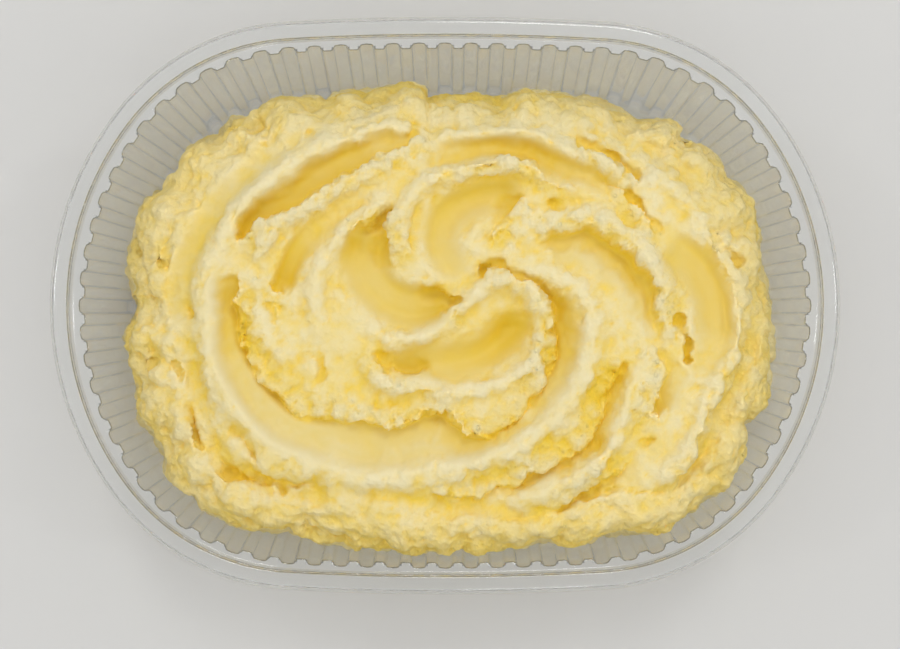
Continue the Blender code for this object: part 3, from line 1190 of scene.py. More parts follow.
# Broad slopes down to a crease from both sides.
VALLEYS = {
    "inner left": Stroke(
        ((-47, 4, 1), (-46, -5, 1.6), (-42.5, -13, 2), (-37, -20, 2), (-31, -24.5, 1.4), (-24, -26, 0.7)),
        9, 3, 0, False,
    ),
    "under the hook": Stroke(
        ((8, -29, 0.8), (14, -26.8, 1.2), (19, -21, 1.6), (23, -15, 1.6), (24.3, -8, 1.4), (23.8, -2, 1)),
        6, 2, 0, False,
    ),
    "second fold": Stroke(
        ((2, -43.3, 0.6), (15, -40, 1.2), (24, -36, 1.4), (32.5, -31, 1.6), (35, -25, 1.6), (37, -19, 1.4),
         (39.5, -14.5, 1)),
        6, 6, 0, False,
    ),
    "third fold": Stroke(
        ((23, -45.6, 0.6), (32, -42, 1), (39, -37.6, 1), (43, -31, 1), (46, -24, 1), (48, -18, 0.8)), 5, 5, 0, False
    ),
    "outer left": Stroke(
        ((-57.5, -12, 1), (-57, -22, 1.6), (-53, -31, 1.8), (-46, -38, 1.8), (-36, -42, 1.4), (-24, -43.5, 0.8)),
        4, 4, 0, False,
    ),
    "outer bottom": Stroke(((-20, -43, 0.6), (-5, -45, 1), (10, -46.5, 1), (25, -46.5, 0.8)), 3, 3, 0, False),
    "outer right": Stroke(
        ((66, 6, 0.6), (69, -4, 1), (68, -14, 1), (64.5, -24, 1), (60, -33, 1.2), (54, -40, 1)), 3, 3, 0, False
    ),
    "outer left sweep": Stroke(
        ((-60, -4, 0.8), (-59, 8, 1.2), (-54.5, 19, 1.2), (-46, 29, 1), (-36, 36.5, 0.6)), 4, 4, 0.2
    ),
    "outer top": Stroke(((32, 40, 0.6), (42, 37, 0.9), (51, 33, 0.9), (58, 27, 0.8)), 3, 3, 0, False),
}

RIDGES = {
    "outer spiral": Stroke(
        ((-6, 41.5, -0.8), (-15, 40.5, -1.6), (-25, 37.5, -2), (-34, 32.5, -2.2), (-43, 25.5, -2.2), (-49, 17, -2),
         (-53, 8, -2), (-54.3, -3, -2.2), (-52.5, -14, -2.2), (-46.5, -25.5, -2), (-37, -33.5, -2), (-23, -38.3, -2),
         (-6, -38.6, -2), (8, -35.8, -2), (18, -31, -2), (26, -23.5, -2.2), (31.2, -15.5, -2.2), (33.8, -7, -2.2),
         (33, 0, -2), (28.5, 4.5, -2), (20, 8.5, -1.2), (12, 11.5, -0.8)),
        4.5, 4.5,
    ),
    "left wall": Stroke(
        ((-27, -8, -0.8), (-29.3, -2, -1.5), (-29.3, 5, -1.8), (-27, 11, -1.8), (-22.5, 16.3, -1.8), (-17, 21, -1.6),
         (-11, 26, -1.4)),
        3.5, 3.5,
    ),
    "upper bowl's rim": Stroke(
        ((-7, 9, -0.6), (-9.5, 14, -2), (-10, 19, -2.4), (-7.5, 24, -2.4), (-3, 28.3, -2.4), (4, 30.6, -2.4),
         (11, 31.8, -2.6), (18, 31, -2.2), (24, 27.8, -1), (30, 25, -0.6)),
        3.6, 3.2,
    ),
    "hook": Stroke(
        ((-19, -5, -0.6), (-13, -7.8, -1.5), (-6, -7.2, -1.8), (0, -4.3, -2), (4.5, 0, -2), (8, 4, -2), (13, 5.6, -2.2),
         (18, 3.5, -2.2), (21, -1.5, -2.2), (21.8, -7, -2), (20, -13, -1.8), (14.5, -17.3, -1.6), (6, -18.8, -1.6),
         (-4, -18.8, -1.6), (-12, -18.3, -1.5), (-18, -14.5, -1.2), (-20.5, -10, -0.8)),
        3.2, 3.2,
    ),
    "top": Stroke(
        ((-2, 38.8, -0.8), (8, 39.3, -1.3), (16, 39, -1.5), (24, 37, -1.6), (31, 34.3, -1.6), (37, 30.5, -1.5),
         (42, 26.5, -0.8)),
        3, 3,
    ),
    "right sweep's rim": Stroke(
        ((22, 20, -1), (28, 20.3, -1.3), (35, 19.5, -1.5), (41, 16.3, -1.6), (46.3, 11.3, -1.6), (50, 5, -1.6),
         (52, -1, -1.2)),
        3.5, 3.5,
    ),
    "outer right": Stroke(
        ((45, 31, -0.8), (51, 28, -1.2), (56, 23, -1.5), (60, 16.5, -1.6), (63.8, 10, -1.8), (66.7, 3, -1.8),
         (67, -5, -1.6), (64.3, -13, -1.6), (61, -20, -1.8), (58, -28, -1.8), (53.5, -35, -1.6), (47, -40, -1.2)),
        4, 4,
    ),
    "lower right": Stroke(
        ((43, -14, -1), (42.3, -20, -1.4), (40, -27, -1.5), (36.5, -33, -1.5), (30, -38.5, -1.5), (22, -42, -1.2),
         (14, -44, -0.8)),
        3.5, 3.5,
    ),
    "upper left": Stroke(
        ((-44, 9, -0.8), (-41.5, 14, -1.5), (-37, 18, -1.5), (-31, 22, -1.4), (-25, 26, -1.4), (-18, 28.8, -1.4),
         (-11, 32.5, -1.2)),
        2.8, 2.8,
    ),
    "left": Stroke(((-43.5, 3, -1.2), (-43, -3, -1.4), (-40, -9, -1.2), (-34, -14, -0.8)), 3.5, 3.5),
}


@dataclass(frozen=True)
class Billow:
    """A soft round swelling of the mash, or a dent where its height is below 0."""

    x: float
    y: float
    radius: float
    height: float


@dataclass
class Relief:
    """What the spoon did at each of a set of places."""

    rise: Array
    torn: Array
    slick: Array
    lip: Array

    @classmethod
    def flat(cls, count: int) -> "Relief":
        """No relief, at this many places."""
        return cls(np.zeros(count), np.zeros(count), np.zeros(count), np.zeros((count, 2)))


BILLOWS = tuple(
    Billow(*numbers)
    for numbers in (
        (-48, -33.5, 5.5, 1.3), (-40, -36.5, 5, 1.5), (-33, -38.5, 5, 1.3), (-46, -44, 6.5, 2), (-57, -36, 6, 1.5),
        (-62, -27, 6, 1.3), (-66, -16, 5, 1.3), (-68, -7, 5, 1.3), (-25, -47, 7, 1.7), (-14, -46.5, 5, 1.3),
        (-20, -52, 5, 1.2), (-8, -52, 6, 1.5), (3, -50, 5, 1.3), (12, -50, 6, 1.5), (22, -50, 6, 1.3),
        (33, -49, 6, 1.3), (44, -47, 6, 1.3), (52, -46, 5, 1.3), (58, -40, 5, 1.1), (64, -34, 5, 1.3),
        (68, -22, 6, 1.1), (71, -10, 5, 1.1), (-66, 6, 5, 1.3), (-67, 15, 5, 1.1), (-64, 22, 5, 1.1),
        (-57, 32, 5, 1.3), (-48, 39, 5, 1.1), (-38, 42, 5, 1.3), (-22, 44, 6, 1.1), (-9, 46, 5, 1.3),
        (4, 44, 5, 1.1), (18, 45, 6, 1.3), (30, 43, 6, 1.1), (42, 39, 5, 1.1), (50, 38, 4.5, 1.3),
        (58, 32, 5, 1.1), (65, 22, 5, 1.3), (69, 12, 5, 1.1),
    )
)

# The heap's outline as it looks from over it, from its right end round by the back.
OUTLINE = (
    (74, 0), (73, 3), (72.5, 8), (71.5, 12), (71, 17), (70.5, 20), (69.5, 24), (67, 27), (63.6, 29), (63, 31.5),
    (61, 34.5), (58.5, 36.5), (55.5, 37.6), (53.3, 38), (53.4, 40.2), (51, 42), (46, 42.4), (43.5, 42.2),
    (40, 44.5), (35, 46.5), (30, 47), (25, 48), (20, 49), (17, 49), (14, 47.6), (10, 47.5), (5, 48), (0, 47.3),
    (-4.2, 46.9), (-5, 49), (-8, 50), (-13, 49.5), (-15, 48.5), (-18, 48.3), (-25, 48), (-27, 46.4), (-30, 46.8),
    (-35, 47.6), (-38, 46.5), (-40, 45.5), (-43, 44.5), (-45, 42.7), (-48, 42.6), (-50, 41.2), (-51, 38.2),
    (-54, 38), (-58, 36), (-59.7, 33.5), (-60, 31), (-62, 29.5), (-64, 26), (-66, 25.5), (-69, 23), (-70, 20),
    (-70.3, 16), (-71.8, 11), (-72, 8), (-71.3, 4), (-71.4, 2), (-69.8, 0), (-70.3, -3), (-72.5, -6), (-73, -9),
    (-71.5, -12), (-71, -15), (-70.8, -20), (-70, -25), (-67.5, -28), (-65.5, -31), (-63.2, -34.5), (-62.5, -38),
    (-60, -41), (-57, -43.5), (-55, -46.5), (-50, -48.7), (-45, -50.5), (-40, -51), (-35, -52), (-28, -54),
    (-25, -54.5), (-20, -56), (-17, -55.5), (-10, -56.1), (-3, -56), (1, -56), (3.9, -54.6), (6, -55.9), (10, -56),
    (15, -55), (22, -54.5), (30, -54.5), (36, -53), (40, -52), (45, -51.8), (49, -52.5), (53, -50), (57, -46.5),
    (60, -43), (64, -41), (66, -36.5), (69, -32), (69.5, -30), (68.4, -27), (70, -26), (72.5, -22), (74, -17),
    (74.2, -13), (74.4, -9), (74.6, -5),
)


@dataclass
class Mash:
    """The heap of mash, from its swirled top down to where it meets the tub."""

    tub: Tub
    finish: MashFinish = field(default_factory=MashFinish)
    middle: tuple[float, float] = (0.5, -3.0)
    half_length: float = 75.0
    half_width: float = 53.8
    squareness: float = 2.7
    top: float = 42.5
    shoulder: float = 27.0
    lean: float = 6.0
    fullness: tuple[float, float] = (3.8, 2.4)
    cells: tuple[int, int] = (288, 208)
    side_rows: int = 33
    # The strokes are laid out on the rim's plane, as they lie under an eye this high over it.
    eye: tuple[float, float, float] = (1.13, -4.31, 665.0)
    eye_drop: float = 620.0
    highest: float = 47.2
    bite: float = 0.12
    over: float = 0.36
    gain: float = 1.15
    # Levels of the painted gold shade: overall, on the border and on the heap's sides.
    painted_gold_offset: float = 0.335
    border_painted_gold: float = 0.23
    side_painted_gold: float = 0.3
    crack: float = 2.1
    drag: float = 0.13
    folds: tuple[Fold, ...] = FOLDS
    billows: tuple[Billow, ...] = BILLOWS
    outline: tuple[tuple[float, float], ...] = OUTLINE
    troughs: tuple[Stroke, ...] = (*TROUGHS.values(), *VALLEYS.values())
    ridges: tuple[Stroke, ...] = tuple(RIDGES.values())

    def __post_init__(self) -> None:
        """Draws the noises that roughen the mash."""
        self._warp_x, self._warp_y, self._coarse, self._fine = (Noise(seed) for seed in (11, 12, 13, 14))

    def _outline(self, angles: Array, shares: Array) -> Array:
        """How far the heap reaches at each angle: an even outline inside, and its own at its edge."""
        c, s = np.abs(np.cos(angles)), np.abs(np.sin(angles))
        n = self.squareness
        even = ((c / self.half_length) ** n + (s / self.half_width) ** n) ** (-1 / n)
        eye, knots = np.array(self.eye[:2]), np.array(self.outline)
        heights = self._shoulder(np.arctan2(*(knots - self.middle).T[::-1]))
        spread = (self.eye[2] - heights) / self.eye_drop
        apart = eye + (knots - eye) * spread[:, None] - self.middle
        turns = np.arctan2(apart[:, 1], apart[:, 0])
        own = np.interp(angles, turns, np.hypot(*apart.T), period=math.tau)
        return even + (own - even) * eased((shares - 0.45) / 0.5)

    def _shoulder(self, angles: Array) -> Array:
        """The height of the heap's widest line at each angle."""
        return self.shoulder - self.lean * np.sin(angles)

    def _dome(self) -> tuple[Array, Array, Array]:
        """The heap's plain top.

        Returns:
            A grid of points as three numbers a cell, and each cell's angle and share of the way out.
        """
        across, along = self.cells
        u, v = np.meshgrid(np.linspace(-1, 1, across + 1), np.linspace(-1, 1, along + 1))
        x, y = u * np.sqrt(1 - v * v / 2), v * np.sqrt(1 - u * u / 2)
        angles = np.arctan2(y * self.half_width, x * self.half_length)
        rise, fall = self.fullness
        share = 1 - (1 - np.linspace(0, 1, 4000)) ** 2.5
        profile = (1 - share**rise) ** (1 / fall)
        run = np.hypot(np.diff(share) * 62, np.diff(profile) * (self.top - self.shoulder))
        run = np.concatenate([[0.0], np.cumsum(run)])
        shares = np.interp(np.minimum(np.hypot(x, y), 1) * run[-1], run, share)
        shares[[0, -1]] = 1.0
        shares[:, [0, -1]] = 1.0
        shoulder = self._shoulder(angles)
        heights = shoulder + (self.top - shoulder) * np.clip(1 - shares**rise, 0, 1) ** (1 / fall)
        radii = self._outline(angles, shares) * shares
        flat = (self.middle[0] + radii * np.cos(angles), self.middle[1] + radii * np.sin(angles))
        return np.stack([*flat, heights], axis=-1), angles, shares

    def _laid_out(self, points: Array) -> Array:
        """Where points lie on the plane that the strokes are laid out on."""
        eye = np.array(self.eye[:2])
        return eye + (points[:, :2] - eye) * (self.eye_drop / (self.eye[2] - points[:, 2:]))

    def _warped(self, places: Array, amount: float, size: float) -> Array:
        """Places shifted a little by noise, so that lines over them run ragged."""
        deep = np.column_stack([places, np.zeros(len(places))])
        shift = [noise.waves(deep, size) for noise in (self._warp_x, self._warp_y)]
        return places + amount * np.column_stack(shift)

    def _drag(self, near: Nearness) -> Array:
        """Fine streaks along a line, as a spoon's edge leaves them."""
        spun = np.column_stack([near.aside, near.along / 14.0, np.full(len(near.aside), near.length)])
        return self._fine.waves(spun, 1.9)

    def _add_stroke(self, relief: Relief, points: Array, places: Array, stroke: Stroke) -> None:
        """Adds a trough or a ridge to the relief.

        Args:
            relief: The relief, which is changed.
            points: The plain top's points.
            places: Where they lie on the strokes' plane.
            stroke: The trough or ridge.
        """
        near = nearness(places, smooth_line(stroke.knots, 2.0), max(stroke.left, stroke.right))
        width = np.where(near.aside > 0, stroke.left, stroke.right)
        share = (np.abs(near.aside) / width - stroke.flat) / (1 - stroke.flat)
        ends = np.minimum(near.along, near.length - near.along)
        narrow = min(stroke.left, stroke.right)
        bed = (1 - eased(share)) * eased((ends + 0.3 * narrow) / (1.3 * narrow))
        depth = near.carried[:, 0] * self.gain
        depth = np.where(depth < 0, depth * 1.15, depth)
        if narrow < self.crack:
            depth = depth * (0.9 + 0.4 * self._coarse.waves(points[near.chosen], 6.0))
        relief.rise[near.chosen] -= depth * bed
        if stroke.smooth and narrow > 2.5 and depth.max() > 0:
            slick = eased(bed * 1.6) * np.clip(depth / 2.4, 0, 1)
            relief.rise[near.chosen] += self.drag * slick * self._drag(near)
            relief.slick[near.chosen] = np.maximum(relief.slick[near.chosen], slick)

    def _add_fold(self, relief: Relief, places: Array, fold: Fold) -> None:
        """Adds a torn edge to the relief.

        Args:
            relief: The relief, which is changed.
            places: Points on the strokes' plane.
            fold: The torn edge.
        """
        line = smooth_line(fold.knots, 1.5)
        near = nearness(places, line, max(fold.high, line[:, 3].max()))
        drop, reach = near.carried[:, 0] * self.gain, near.carried[:, 1]
        ends = eased(np.minimum(near.along, near.length - near.along) / 3.0)
        aside = near.aside
        up = eased((aside + fold.soft) / (2 * fold.soft))
        high = 1 - eased(np.abs(aside) / fold.high)
        low = 1 - eased((np.abs(aside) / reach - fold.flat) / (1 - fold.flat))
        strength = np.clip(drop / 2.5, 0, 1) * ends
        step = drop * ends * (self.over * high * up - (1 - self.over) * low * (1 - up))
        slick = strength * (1 - up) * (1 - eased((np.abs(aside) / reach - 0.7) / 0.4))
        slick *= np.clip((reach - 3.5) / 3.0, 0, 1)
        relief.rise[near.chosen] += step + self.drag * slick * self._drag(near)
        torn = strength * (1 - eased((aside - 1.5) / 5.0)) * eased((aside + 1.2) / 1.5)
        relief.torn[near.chosen] = np.maximum(relief.torn[near.chosen], torn)
        relief.slick[near.chosen] = np.maximum(relief.slick[near.chosen], slick)
        run = np.concatenate([[0], np.cumsum(np.hypot(*np.diff(line[:, :2], axis=0).T))])
        nearest = np.searchsorted(run, near.along).clip(0, len(line) - 1)
        heading = np.column_stack([np.gradient(line[:, 0]), np.gradient(line[:, 1])])[nearest]
        heading /= np.maximum(np.linalg.norm(heading, axis=1, keepdims=True), 1e-9)
        out = np.column_stack([heading[:, 1], -heading[:, 0]])
        curl = fold.curl * strength * eased((aside + 1.0) / 1.4) * (1 - eased((aside - 0.6) / 2.6))
        relief.lip[near.chosen] += out * curl[:, None]

    def _swirled(self, points: Array, shares: Array) -> tuple[Array, Relief]:
        """Cuts the spoon's strokes into the top.

        Args:
            points: The plain top's points.
            shares: How far out each lies, from 0 to 1.

        Returns:
            The points and the relief.
        """
        places = self._laid_out(points)
        wavy = self._warped(places, 0.9, 14.0)
        ragged = self._warped(self._warped(self._warped(wavy, 1.2, 4.6), 0.7, 2.1), 0.3, 1.1)
        relief = Relief.flat(len(points))
        for stroke in (*self.troughs, *self.ridges):
            narrow = min(stroke.left, stroke.right) < self.crack
            self._add_stroke(relief, points, ragged if narrow else wavy, stroke)
        for fold in self.folds:
            self._add_fold(relief, ragged, fold)
        fade = 1 - eased((shares - 0.93) / 0.07)
        points = points.copy()
        points[:, :2] += relief.lip * fade[:, None]
        points[:, 2] += relief.rise * (0.25 + 0.75 * fade)
        return points, relief

    def _sides(self, edge: Array) -> Array:
        """Rows of points from the heap's widest line down to the tub's floor.

        Args:
            edge: The widest line's points, in order round the heap.

        Returns:
            The rows' points, three numbers each, without the edge itself.
        """
        eye = np.array(self.eye[:2])
        flat = self._laid_out(edge)
        start, stop = edge[:, 2], self.tub.floor - self.bite
        shares = np.arange(1, self.side_rows + 1) / self.side_rows
        shares = 0.75 * shares + 0.25 * shares**2
        rows = []
        for share in shares:
            height = start + (stop - start) * share
            spread = (self.eye[2] - height) / self.eye_drop
            rows.append(np.column_stack([eye + (flat - eye) * spread[:, None], height]))
        return np.array(rows)

    def _held_in(self, points: Array) -> Array:
        """Points kept from passing the tub's wall by more than a bite."""
        turns, insets = self.tub.outline.turns_and_insets(points[:, :2])
        wall = self.tub.wall_insets(turns, points[:, 2]) - self.bite
        held = np.nonzero((insets < wall) & (points[:, 2] < self.tub.rim[-5][1]))[0]
        points = points.copy()
        points[held, :2] = self.tub.outline.places(turns[held], wall[held])
        return points

    def _fluffed(
        self, points: Array, normals: Array, out: Array, down: Array, relief: Relief
    ) -> tuple[Array, Array]:
        """Raises the lumps of the border and the fluff of the crests.

        Args:
            points: The mash's points.
            normals: Their normals.
            out: How far out each point lies over the top, from 0 to 1.
            down: How far down the sides each point lies, from 0 to 1.
            relief: The spoon's relief.

        Returns:
            The moved points, and the fluff's height at each.
        """
        coarse, fine = self._coarse, self._fine
        foot = 1 - eased((down - 0.8) / 0.2)
        border = eased((out - 0.74) / 0.24) * foot
        lumps = border * 2.0 * (coarse.lumps(points, 9.0) - 0.7)
        lumps += border * 0.5 * coarse.waves(points, 15.0)
        lumps += border * 1.5 * (fine.lumps(points + 3.0, 5.0) - 0.66)
        patches = np.clip(0.5 + 0.8 * coarse.waves(points + 40.0, 12.0), 0, 1)
        fluff = (1 - 0.93 * relief.slick) * foot
        fluff *= 0.4 + 0.35 * patches + 0.4 * np.maximum(relief.torn, 0.6 * border)
        grain = 1.2 * (coarse.lumps(points + 7.0, 3.8) - 0.62) + 0.5 * fine.waves(points, 5.0)
        grain += 1.15 * (fine.lumps(points, 2.2) - 0.62) + 0.65 * (coarse.lumps(points, 1.35) - 0.62)
        grain *= fluff
        return points + normals * (lumps + grain)[:, None], grain

    def _billowed(self, points: Array, normals: Array) -> Array:
        """Raises the billows, each round the surface's point that lies under its place."""
        flat = self._laid_out(points)
        rise = np.zeros(len(points))
        for billow in self.billows:
            nearest = np.argmin(((flat - (billow.x, billow.y)) ** 2).sum(axis=1))
            apart = ((points - points[nearest]) ** 2).sum(axis=1) / billow.radius**2
            rise += billow.height * np.clip(1 - apart, 0, 1) ** 1.5
        return points + normals * rise[:, None]

    def _painted_gold(
        self, spooned: Array, grid: Array, normals: Array, relief: Relief, grain: Array, out: Array
    ) -> Array:
        """Painted gold shade at each point of the top: in its hollows, in creases that see less sky, and on faces
        turned from the key lamp.

        Args:
            spooned: The top's points by row and column, before they are fluffed.
            grid: Its finished points.
            normals: Its normals before it was fluffed.
            relief: The spoon's relief.
            grain: The fluff's height at each point.
            out: How far out each point lies, from 0 to 1, by row and column.

        Returns:
            Values from 0 to 1 by row and column.
        """
        shape = grid.shape[:2]
        heights = spooned[..., 2]
        # Painted shade: more gold where a point sees less sky past its neighbours, and where it lies below its
        # surroundings.
        painted_gold = 0.36 * (1 - openness(grid, (1, 2, 4)))
        painted_gold += 0.42 * (1 - openness(grid, (4, 7, 11)))
        painted_gold += 0.2 * (1 - openness(spooned, (8, 14, 22)))
        painted_gold += 0.06 * np.clip(blurred(heights, 7) - heights, -1.8, 3)
        painted_gold += 0.08 * np.clip(blurred(heights, 16) - heights, -2.2, 4)
        # Torn edges get more gold, and fluff tops are painted paler, as if lit.
        painted_gold += 0.08 * relief.torn[: heights.size].reshape(shape) - 0.38 * grain.reshape(shape)
        uneven = 0.16 * self._coarse.waves(grid.reshape(-1, 3), 7.0) + 0.16 * self._fine.waves(grid.reshape(-1, 3), 3.0)
        painted_gold += (uneven * (1 - 0.7 * relief.slick[: heights.size])).reshape(shape)
        # Painted shade: faces turned to the front, away from the key lamp at the back, get more gold.
        painted_gold += self.painted_gold_offset - 0.2 * normals[..., 1]
        painted_gold = 0.47 + 0.54 * np.tanh((painted_gold - 0.45) / 0.47)
        # The border's painted gold shade, with more on faces turned to the front or the back.
        pale = self.border_painted_gold + 0.5 * painted_gold + 0.1 * np.abs(normals[..., 1])
        return painted_gold + (pale - painted_gold) * eased((out - 0.78) / 0.2)

    def build(self) -> bpy.types.Object:
        """Builds the mash's object."""
        dome, angles, shares = self._dome()
        shape = angles.shape
        plain = dome.reshape(-1, 3)
        top, relief = self._swirled(plain, shares.ravel())
        numbers = np.arange(len(top)).reshape(shape)
        border = np.array([*numbers[0, :-1], *numbers[:-1, -1], *numbers[-1, :0:-1], *numbers[:0:-1, 0]])
        sides = self._sides(plain[border])
        lift = top[border, 2] - plain[border, 2]
        sides[..., 2] += lift * (1 - np.linspace(0, 1, len(sides)))[:, None]
        side_numbers = len(top) + np.arange(sides.shape[0] * sides.shape[1]).reshape(sides.shape[:2])
        points = np.vstack([top, sides.reshape(-1, 3)])
        rings = np.vstack([border[None], side_numbers])
        quads = np.vstack([grid_quads(numbers), grid_quads(rings[::-1], closed=True)])

        spare = len(points) - len(top)
        relief = Relief(*(np.concatenate([part, np.zeros((spare, *part.shape[1:]))]) for part in
                          (relief.rise, relief.torn, relief.slick, relief.lip)))
        out = np.concatenate([shares.ravel(), np.ones(spare)])
        down = np.concatenate([np.zeros(len(top)), np.repeat(np.linspace(0, 1, len(sides)), len(border))])
        normals = vertex_normals(points, quads)
        points = self._billowed(points, normals)
        points, grain = self._fluffed(points, normals, out, down, relief)
        over = points[:, 2] - (self.highest - 1.6)
        points[:, 2] = np.where(over > 0, self.highest - 1.6 + 1.6 * np.tanh(over / 1.6), points[:, 2])
        points[:, 2] = np.maximum(points[:, 2], self.tub.floor - self.bite)
        points = self._held_in(points)

        count = len(plain)
        # Painted gold shade on the heap's sides, more towards the bottom, with random tone.
        painted_gold = self.side_painted_gold + 0.12 * down + 0.14 * self._coarse.waves(points, 7.0)
        grids = [part.reshape(*shape, 3) for part in (top, points[:count], normals[:count])]
        painted_gold[:count] = self._painted_gold(*grids, relief, grain[:count], shares).ravel()
        torn = (0.5 + 0.5 * np.maximum(relief.torn, eased((out - 0.74) / 0.24))) * (1 - 0.95 * relief.slick)

        faces = quads.tolist()
        first, last = len(points), rings[-1]
        turns, _ = self.tub.outline.turns_and_insets(points[last][:, :2])
        rows = []
        for inset, height in ((21.7, self.tub.floor), (22.9, self.tub.panel), (26.0, self.tub.panel)):
            flat = self.tub.outline.places(turns, inset + self.tub.end_inset(turns))
            rows.append(np.column_stack([flat, np.full(len(turns), height - self.bite)]))
        points = np.vstack([points, *rows])
        foot = np.vstack([last[None], first + np.arange(3 * len(turns)).reshape(3, -1)])
        faces += grid_quads(foot[::-1], closed=True).tolist()
        faces.append(foot[-1][::-1].tolist())
        spare = len(points) - first
        obj = mesh_object("mash_heap", points, faces, self.finish.material())
        # Stores the painted gold shade share, with the sides' level on the foot.
        give_values(obj.data, "hollow", np.concatenate([painted_gold, np.full(spare, self.side_painted_gold)]))
        give_values(obj.data, "torn", np.concatenate([torn, np.zeros(spare)]))
        crumbly = relief.torn + 0.35 * eased((out - 0.74) / 0.24) * (points[:first, 2] > 14)
        give_values(obj.data, "crumbly", np.concatenate([np.clip(crumbly, 0, 1), np.zeros(spare)]))
        return obj


# ---------------------------------------------------------------------------------------------
# Loose crumbs
# ---------------------------------------------------------------------------------------------


class CrumbInput(Enum):
    """The crumbs' settings, as the inputs of their node group are named."""

    SPACING = "Spacing"
    DENSITY = "Density"
    SMALLEST = "Smallest"
    LARGEST = "Largest"
    SUNK = "Sunk Share"
    SEED = "Seed"
    MASH = "Mash Material"


@dataclass
class Crumbs:
    """Small crumbs of mash that lie loose along the torn edges and on the heap's border."""

    mash: bpy.types.Object
    finish: MashFinish = field(default_factory=lambda: MashFinish("mash_crumbs", depth_of_light=0.8 * MM))
    spacing: float = 2.4
    density: float = 0.2
    smallest: float = 0.35
    largest: float = 0.8
    sunk: float = 0.62
    seed: int = 5

    def node_group(self) -> bpy.types.NodeTree:
        """Builds the Geometry Nodes group that scatters crumbs over the mash."""
        tree = bpy.data.node_groups.new("crumb_scatter", "GeometryNodeTree")
        face = tree.interface
        face.new_socket("Geometry", in_out="INPUT", socket_type="NodeSocketGeometry")
        for name in CrumbInput:
            kind = {CrumbInput.SEED: "NodeSocketInt", CrumbInput.MASH: "NodeSocketMaterial"}
            face.new_socket(name.value, in_out="INPUT", socket_type=kind.get(name, "NodeSocketFloat"))
        face.new_socket("Geometry", in_out="OUTPUT", socket_type="NodeSocketGeometry")
        wiring = Wiring(tree)
        given = wiring.node("NodeGroupInput")
        asked = {name: Signal(tree, given.outputs[name.value]) for name in CrumbInput}
        seed = asked[CrumbInput.SEED]

        chance = wiring.value("GeometryNodeInputNamedAttribute", {"data_type": "FLOAT"}, Name="crumbly")
        spread = wiring.node(
            "GeometryNodeDistributePointsOnFaces",
            {"distribute_method": "POISSON"},
            Mesh=given.outputs[0],
            Distance_Min=asked[CrumbInput.SPACING],
            Density_Max=2.0e6,
            Density_Factor=chance * asked[CrumbInput.DENSITY],
            Seed=seed,
        )
        cube = wiring.node("GeometryNodeMeshCube", Size=(1.0, 1.0, 1.0))
        finer = wiring.node("GeometryNodeSubdivideMesh", Mesh=cube.outputs[0], Level=1)
        place = wiring.value("GeometryNodeInputPosition")
        ball = wiring.value("ShaderNodeVectorMath", {"operation": "NORMALIZE"}, _0=place)
        uneven = wiring.value("ShaderNodeTexNoise", {"noise_dimensions": "4D"}, Vector=ball, W=1.7, Scale=0.9)
        lumpy = wiring.value(
            "ShaderNodeVectorMath", {"operation": "SCALE"}, _0=ball, Scale=0.62 + uneven * 0.76
        )
        crumb = wiring.node("GeometryNodeSetPosition", Geometry=finer.outputs[0], Position=lumpy)
        size = wiring.value(
            "FunctionNodeRandomValue",
            {"data_type": "FLOAT"},
            out=1,
            _2=asked[CrumbInput.SMALLEST],
            _3=asked[CrumbInput.LARGEST],
            Seed=seed,
        )
        turned = wiring.value(
            "FunctionNodeRandomValue", {"data_type": "FLOAT_VECTOR"}, _1=(math.tau,) * 3, Seed=seed
        )
        squashed = wiring.node(
            "ShaderNodeCombineXYZ", X=size, Y=size * 0.85, Z=size * 0.8
        )
        normal = spread.outputs["Normal"]
        down = wiring.value(
            "ShaderNodeVectorMath", {"operation": "SCALE"}, _0=normal, Scale=size * asked[CrumbInput.SUNK] * -1.0
        )
        points = wiring.node("GeometryNodeSetPosition", Geometry=spread.outputs["Points"], Offset=down)
        laid = wiring.node(
            "GeometryNodeInstanceOnPoints",
            Points=points.outputs[0],
            Instance=crumb.outputs[0],
            Rotation=turned,
            Scale=squashed.outputs[0],
        )
        whole = wiring.node("GeometryNodeRealizeInstances", Geometry=laid.outputs[0])
        dressed = wiring.node(
            "GeometryNodeSetMaterial", Geometry=whole.outputs[0], Material=asked[CrumbInput.MASH]
        )
        wiring.node("NodeGroupOutput", _0=dressed.outputs[0])
        return tree

    def build(self) -> bpy.types.Object:
        """Builds the crumbs' object."""
        material = self.finish.material()
        obj = bpy.data.objects.new("mash_crumbs", self.mash.data.copy())
        bpy.context.scene.collection.objects.link(obj)
        add_nodes(
            obj,
            self.node_group(),
            {
                CrumbInput.SPACING: self.spacing * MM,
                CrumbInput.DENSITY: self.density,
                CrumbInput.SMALLEST: self.smallest * MM,
                CrumbInput.LARGEST: self.largest * MM,
                CrumbInput.SUNK: self.sunk,
                CrumbInput.SEED: self.seed,
                CrumbInput.MASH: material,
            },
        )
        baked(obj)
        obj.data.shade_smooth()
        return obj


# ---------------------------------------------------------------------------------------------
# Studio
# ---------------------------------------------------------------------------------------------


@dataclass(frozen=True)
class Lamp:
    """A soft square lamp that looks at the tub."""

    name: str
    place: tuple[float, float, float]
    size: float
    power: float
    colour: tuple[float, float, float] = (1.0, 1.0, 1.0)


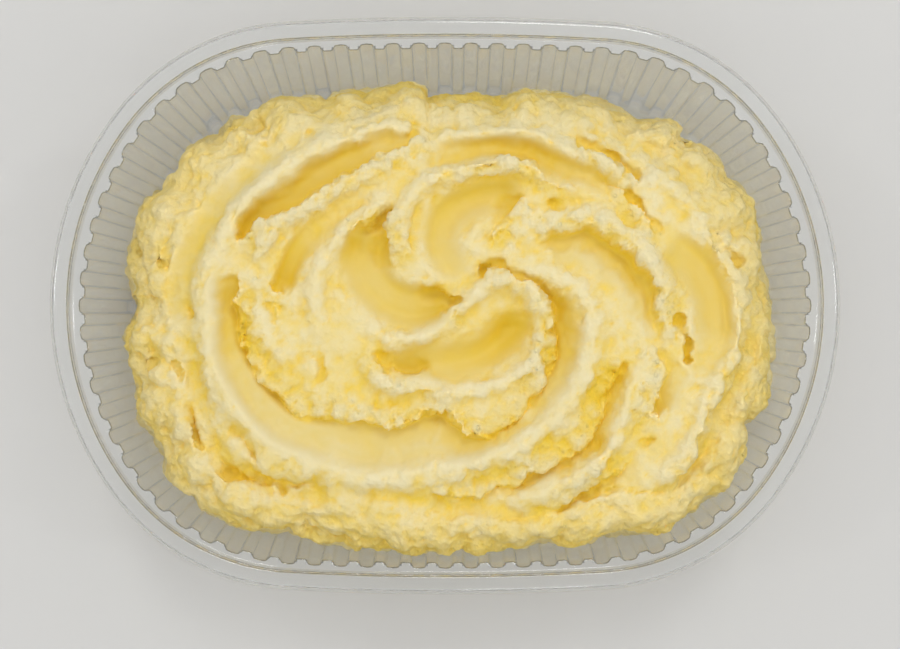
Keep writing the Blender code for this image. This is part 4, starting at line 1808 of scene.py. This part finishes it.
@dataclass
class Studio:
    """A pale table, soft lamps and a camera over the tub."""

    eye: tuple[float, float, float] = (1.13, -4.31, 665.0)
    lens: float = 109.5
    sky: tuple[float, float, float, float] = (1.0, 1.0, 1.0, 1.0)
    sky_strength: float = 0.765
    table_side: float = 3000.0
    table_drop: float = 0.1
    table: TableFinish = field(default_factory=TableFinish)
    lamps: tuple[Lamp, ...] = (
        Lamp("key", (120, 620, 800), 260, 1.65, (1.0, 0.985, 0.96)),
        Lamp("left", (-700, 60, 620), 100, 0.42),
        Lamp("right", (700, 40, 620), 100, 0.6),
        Lamp("front", (60, -720, 620), 100, 0.22),
        Lamp("fill", (100, -900, 700), 900, 0.62, (0.97, 0.985, 1.0)),
    )

    def build(self) -> None:
        """Builds the table, the lamps, the sky and the camera."""
        half = self.table_side / 2
        corners = np.array([(-half, -half, 0), (half, -half, 0), (half, half, 0), (-half, half, 0)], dtype=float)
        corners[:, 2] = -self.table_drop
        mesh_object("table_top", corners, [(0, 1, 2, 3)], self.table.material())
        for lamp in self.lamps:
            self._light(lamp)
        scene = bpy.context.scene
        scene.world = bpy.data.worlds.new("soft_room")
        scene.world.use_nodes = True
        scene.world.node_tree.nodes.clear()
        wiring = Wiring(scene.world.node_tree)
        glow = wiring.node("ShaderNodeBackground", Color=self.sky, Strength=self.sky_strength)
        wiring.node("ShaderNodeOutputWorld", Surface=glow.outputs[0])
        scene.view_settings.view_transform = "Standard"
        lens = bpy.data.cameras.new("camera")
        lens.lens = self.lens
        lens.clip_start, lens.clip_end = 0.01, 20.0
        camera = bpy.data.objects.new("camera", lens)
        camera.location = Vector(self.eye) * MM
        scene.collection.objects.link(camera)
        scene.camera = camera

    def _light(self, lamp: Lamp) -> None:
        """Adds one lamp, turned towards the tub."""
        data = bpy.data.lights.new(lamp.name, "AREA")
        data.shape = "SQUARE"
        data.size = lamp.size * MM
        data.energy = lamp.power
        data.color = lamp.colour
        obj = bpy.data.objects.new(lamp.name, data)
        obj.location = Vector(lamp.place) * MM
        obj.rotation_euler = (-obj.location).to_track_quat("-Z", "Y").to_euler()
        bpy.context.scene.collection.objects.link(obj)


# ---------------------------------------------------------------------------------------------
# Building
# ---------------------------------------------------------------------------------------------


def settle(obj: bpy.types.Object, slot: str, *nodes: str) -> None:
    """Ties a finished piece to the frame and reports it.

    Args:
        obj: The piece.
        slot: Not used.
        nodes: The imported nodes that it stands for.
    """
    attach(obj, "root")
    if nodes:
        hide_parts(*nodes)
    obj.data.calc_loop_triangles()
    log.info("%s: %d triangles", obj.name, len(obj.data.loop_triangles))


def main() -> None:
    """Builds the object's pieces and the studio."""
    logging.basicConfig(level=logging.INFO, format="%(name)s: %(message)s")
    tub = Tub()
    tub_piece = tub.build()
    mash_piece = Mash(tub).build()
    crumb_piece = Crumbs(mash_piece).build()
    settle(tub_piece, "clear_plastic", "tub")
    settle(mash_piece, "mashed_potato", "mash")
    settle(crumb_piece, "mashed_potato")
    Studio().build()


if __name__ == "__main__":
    main()
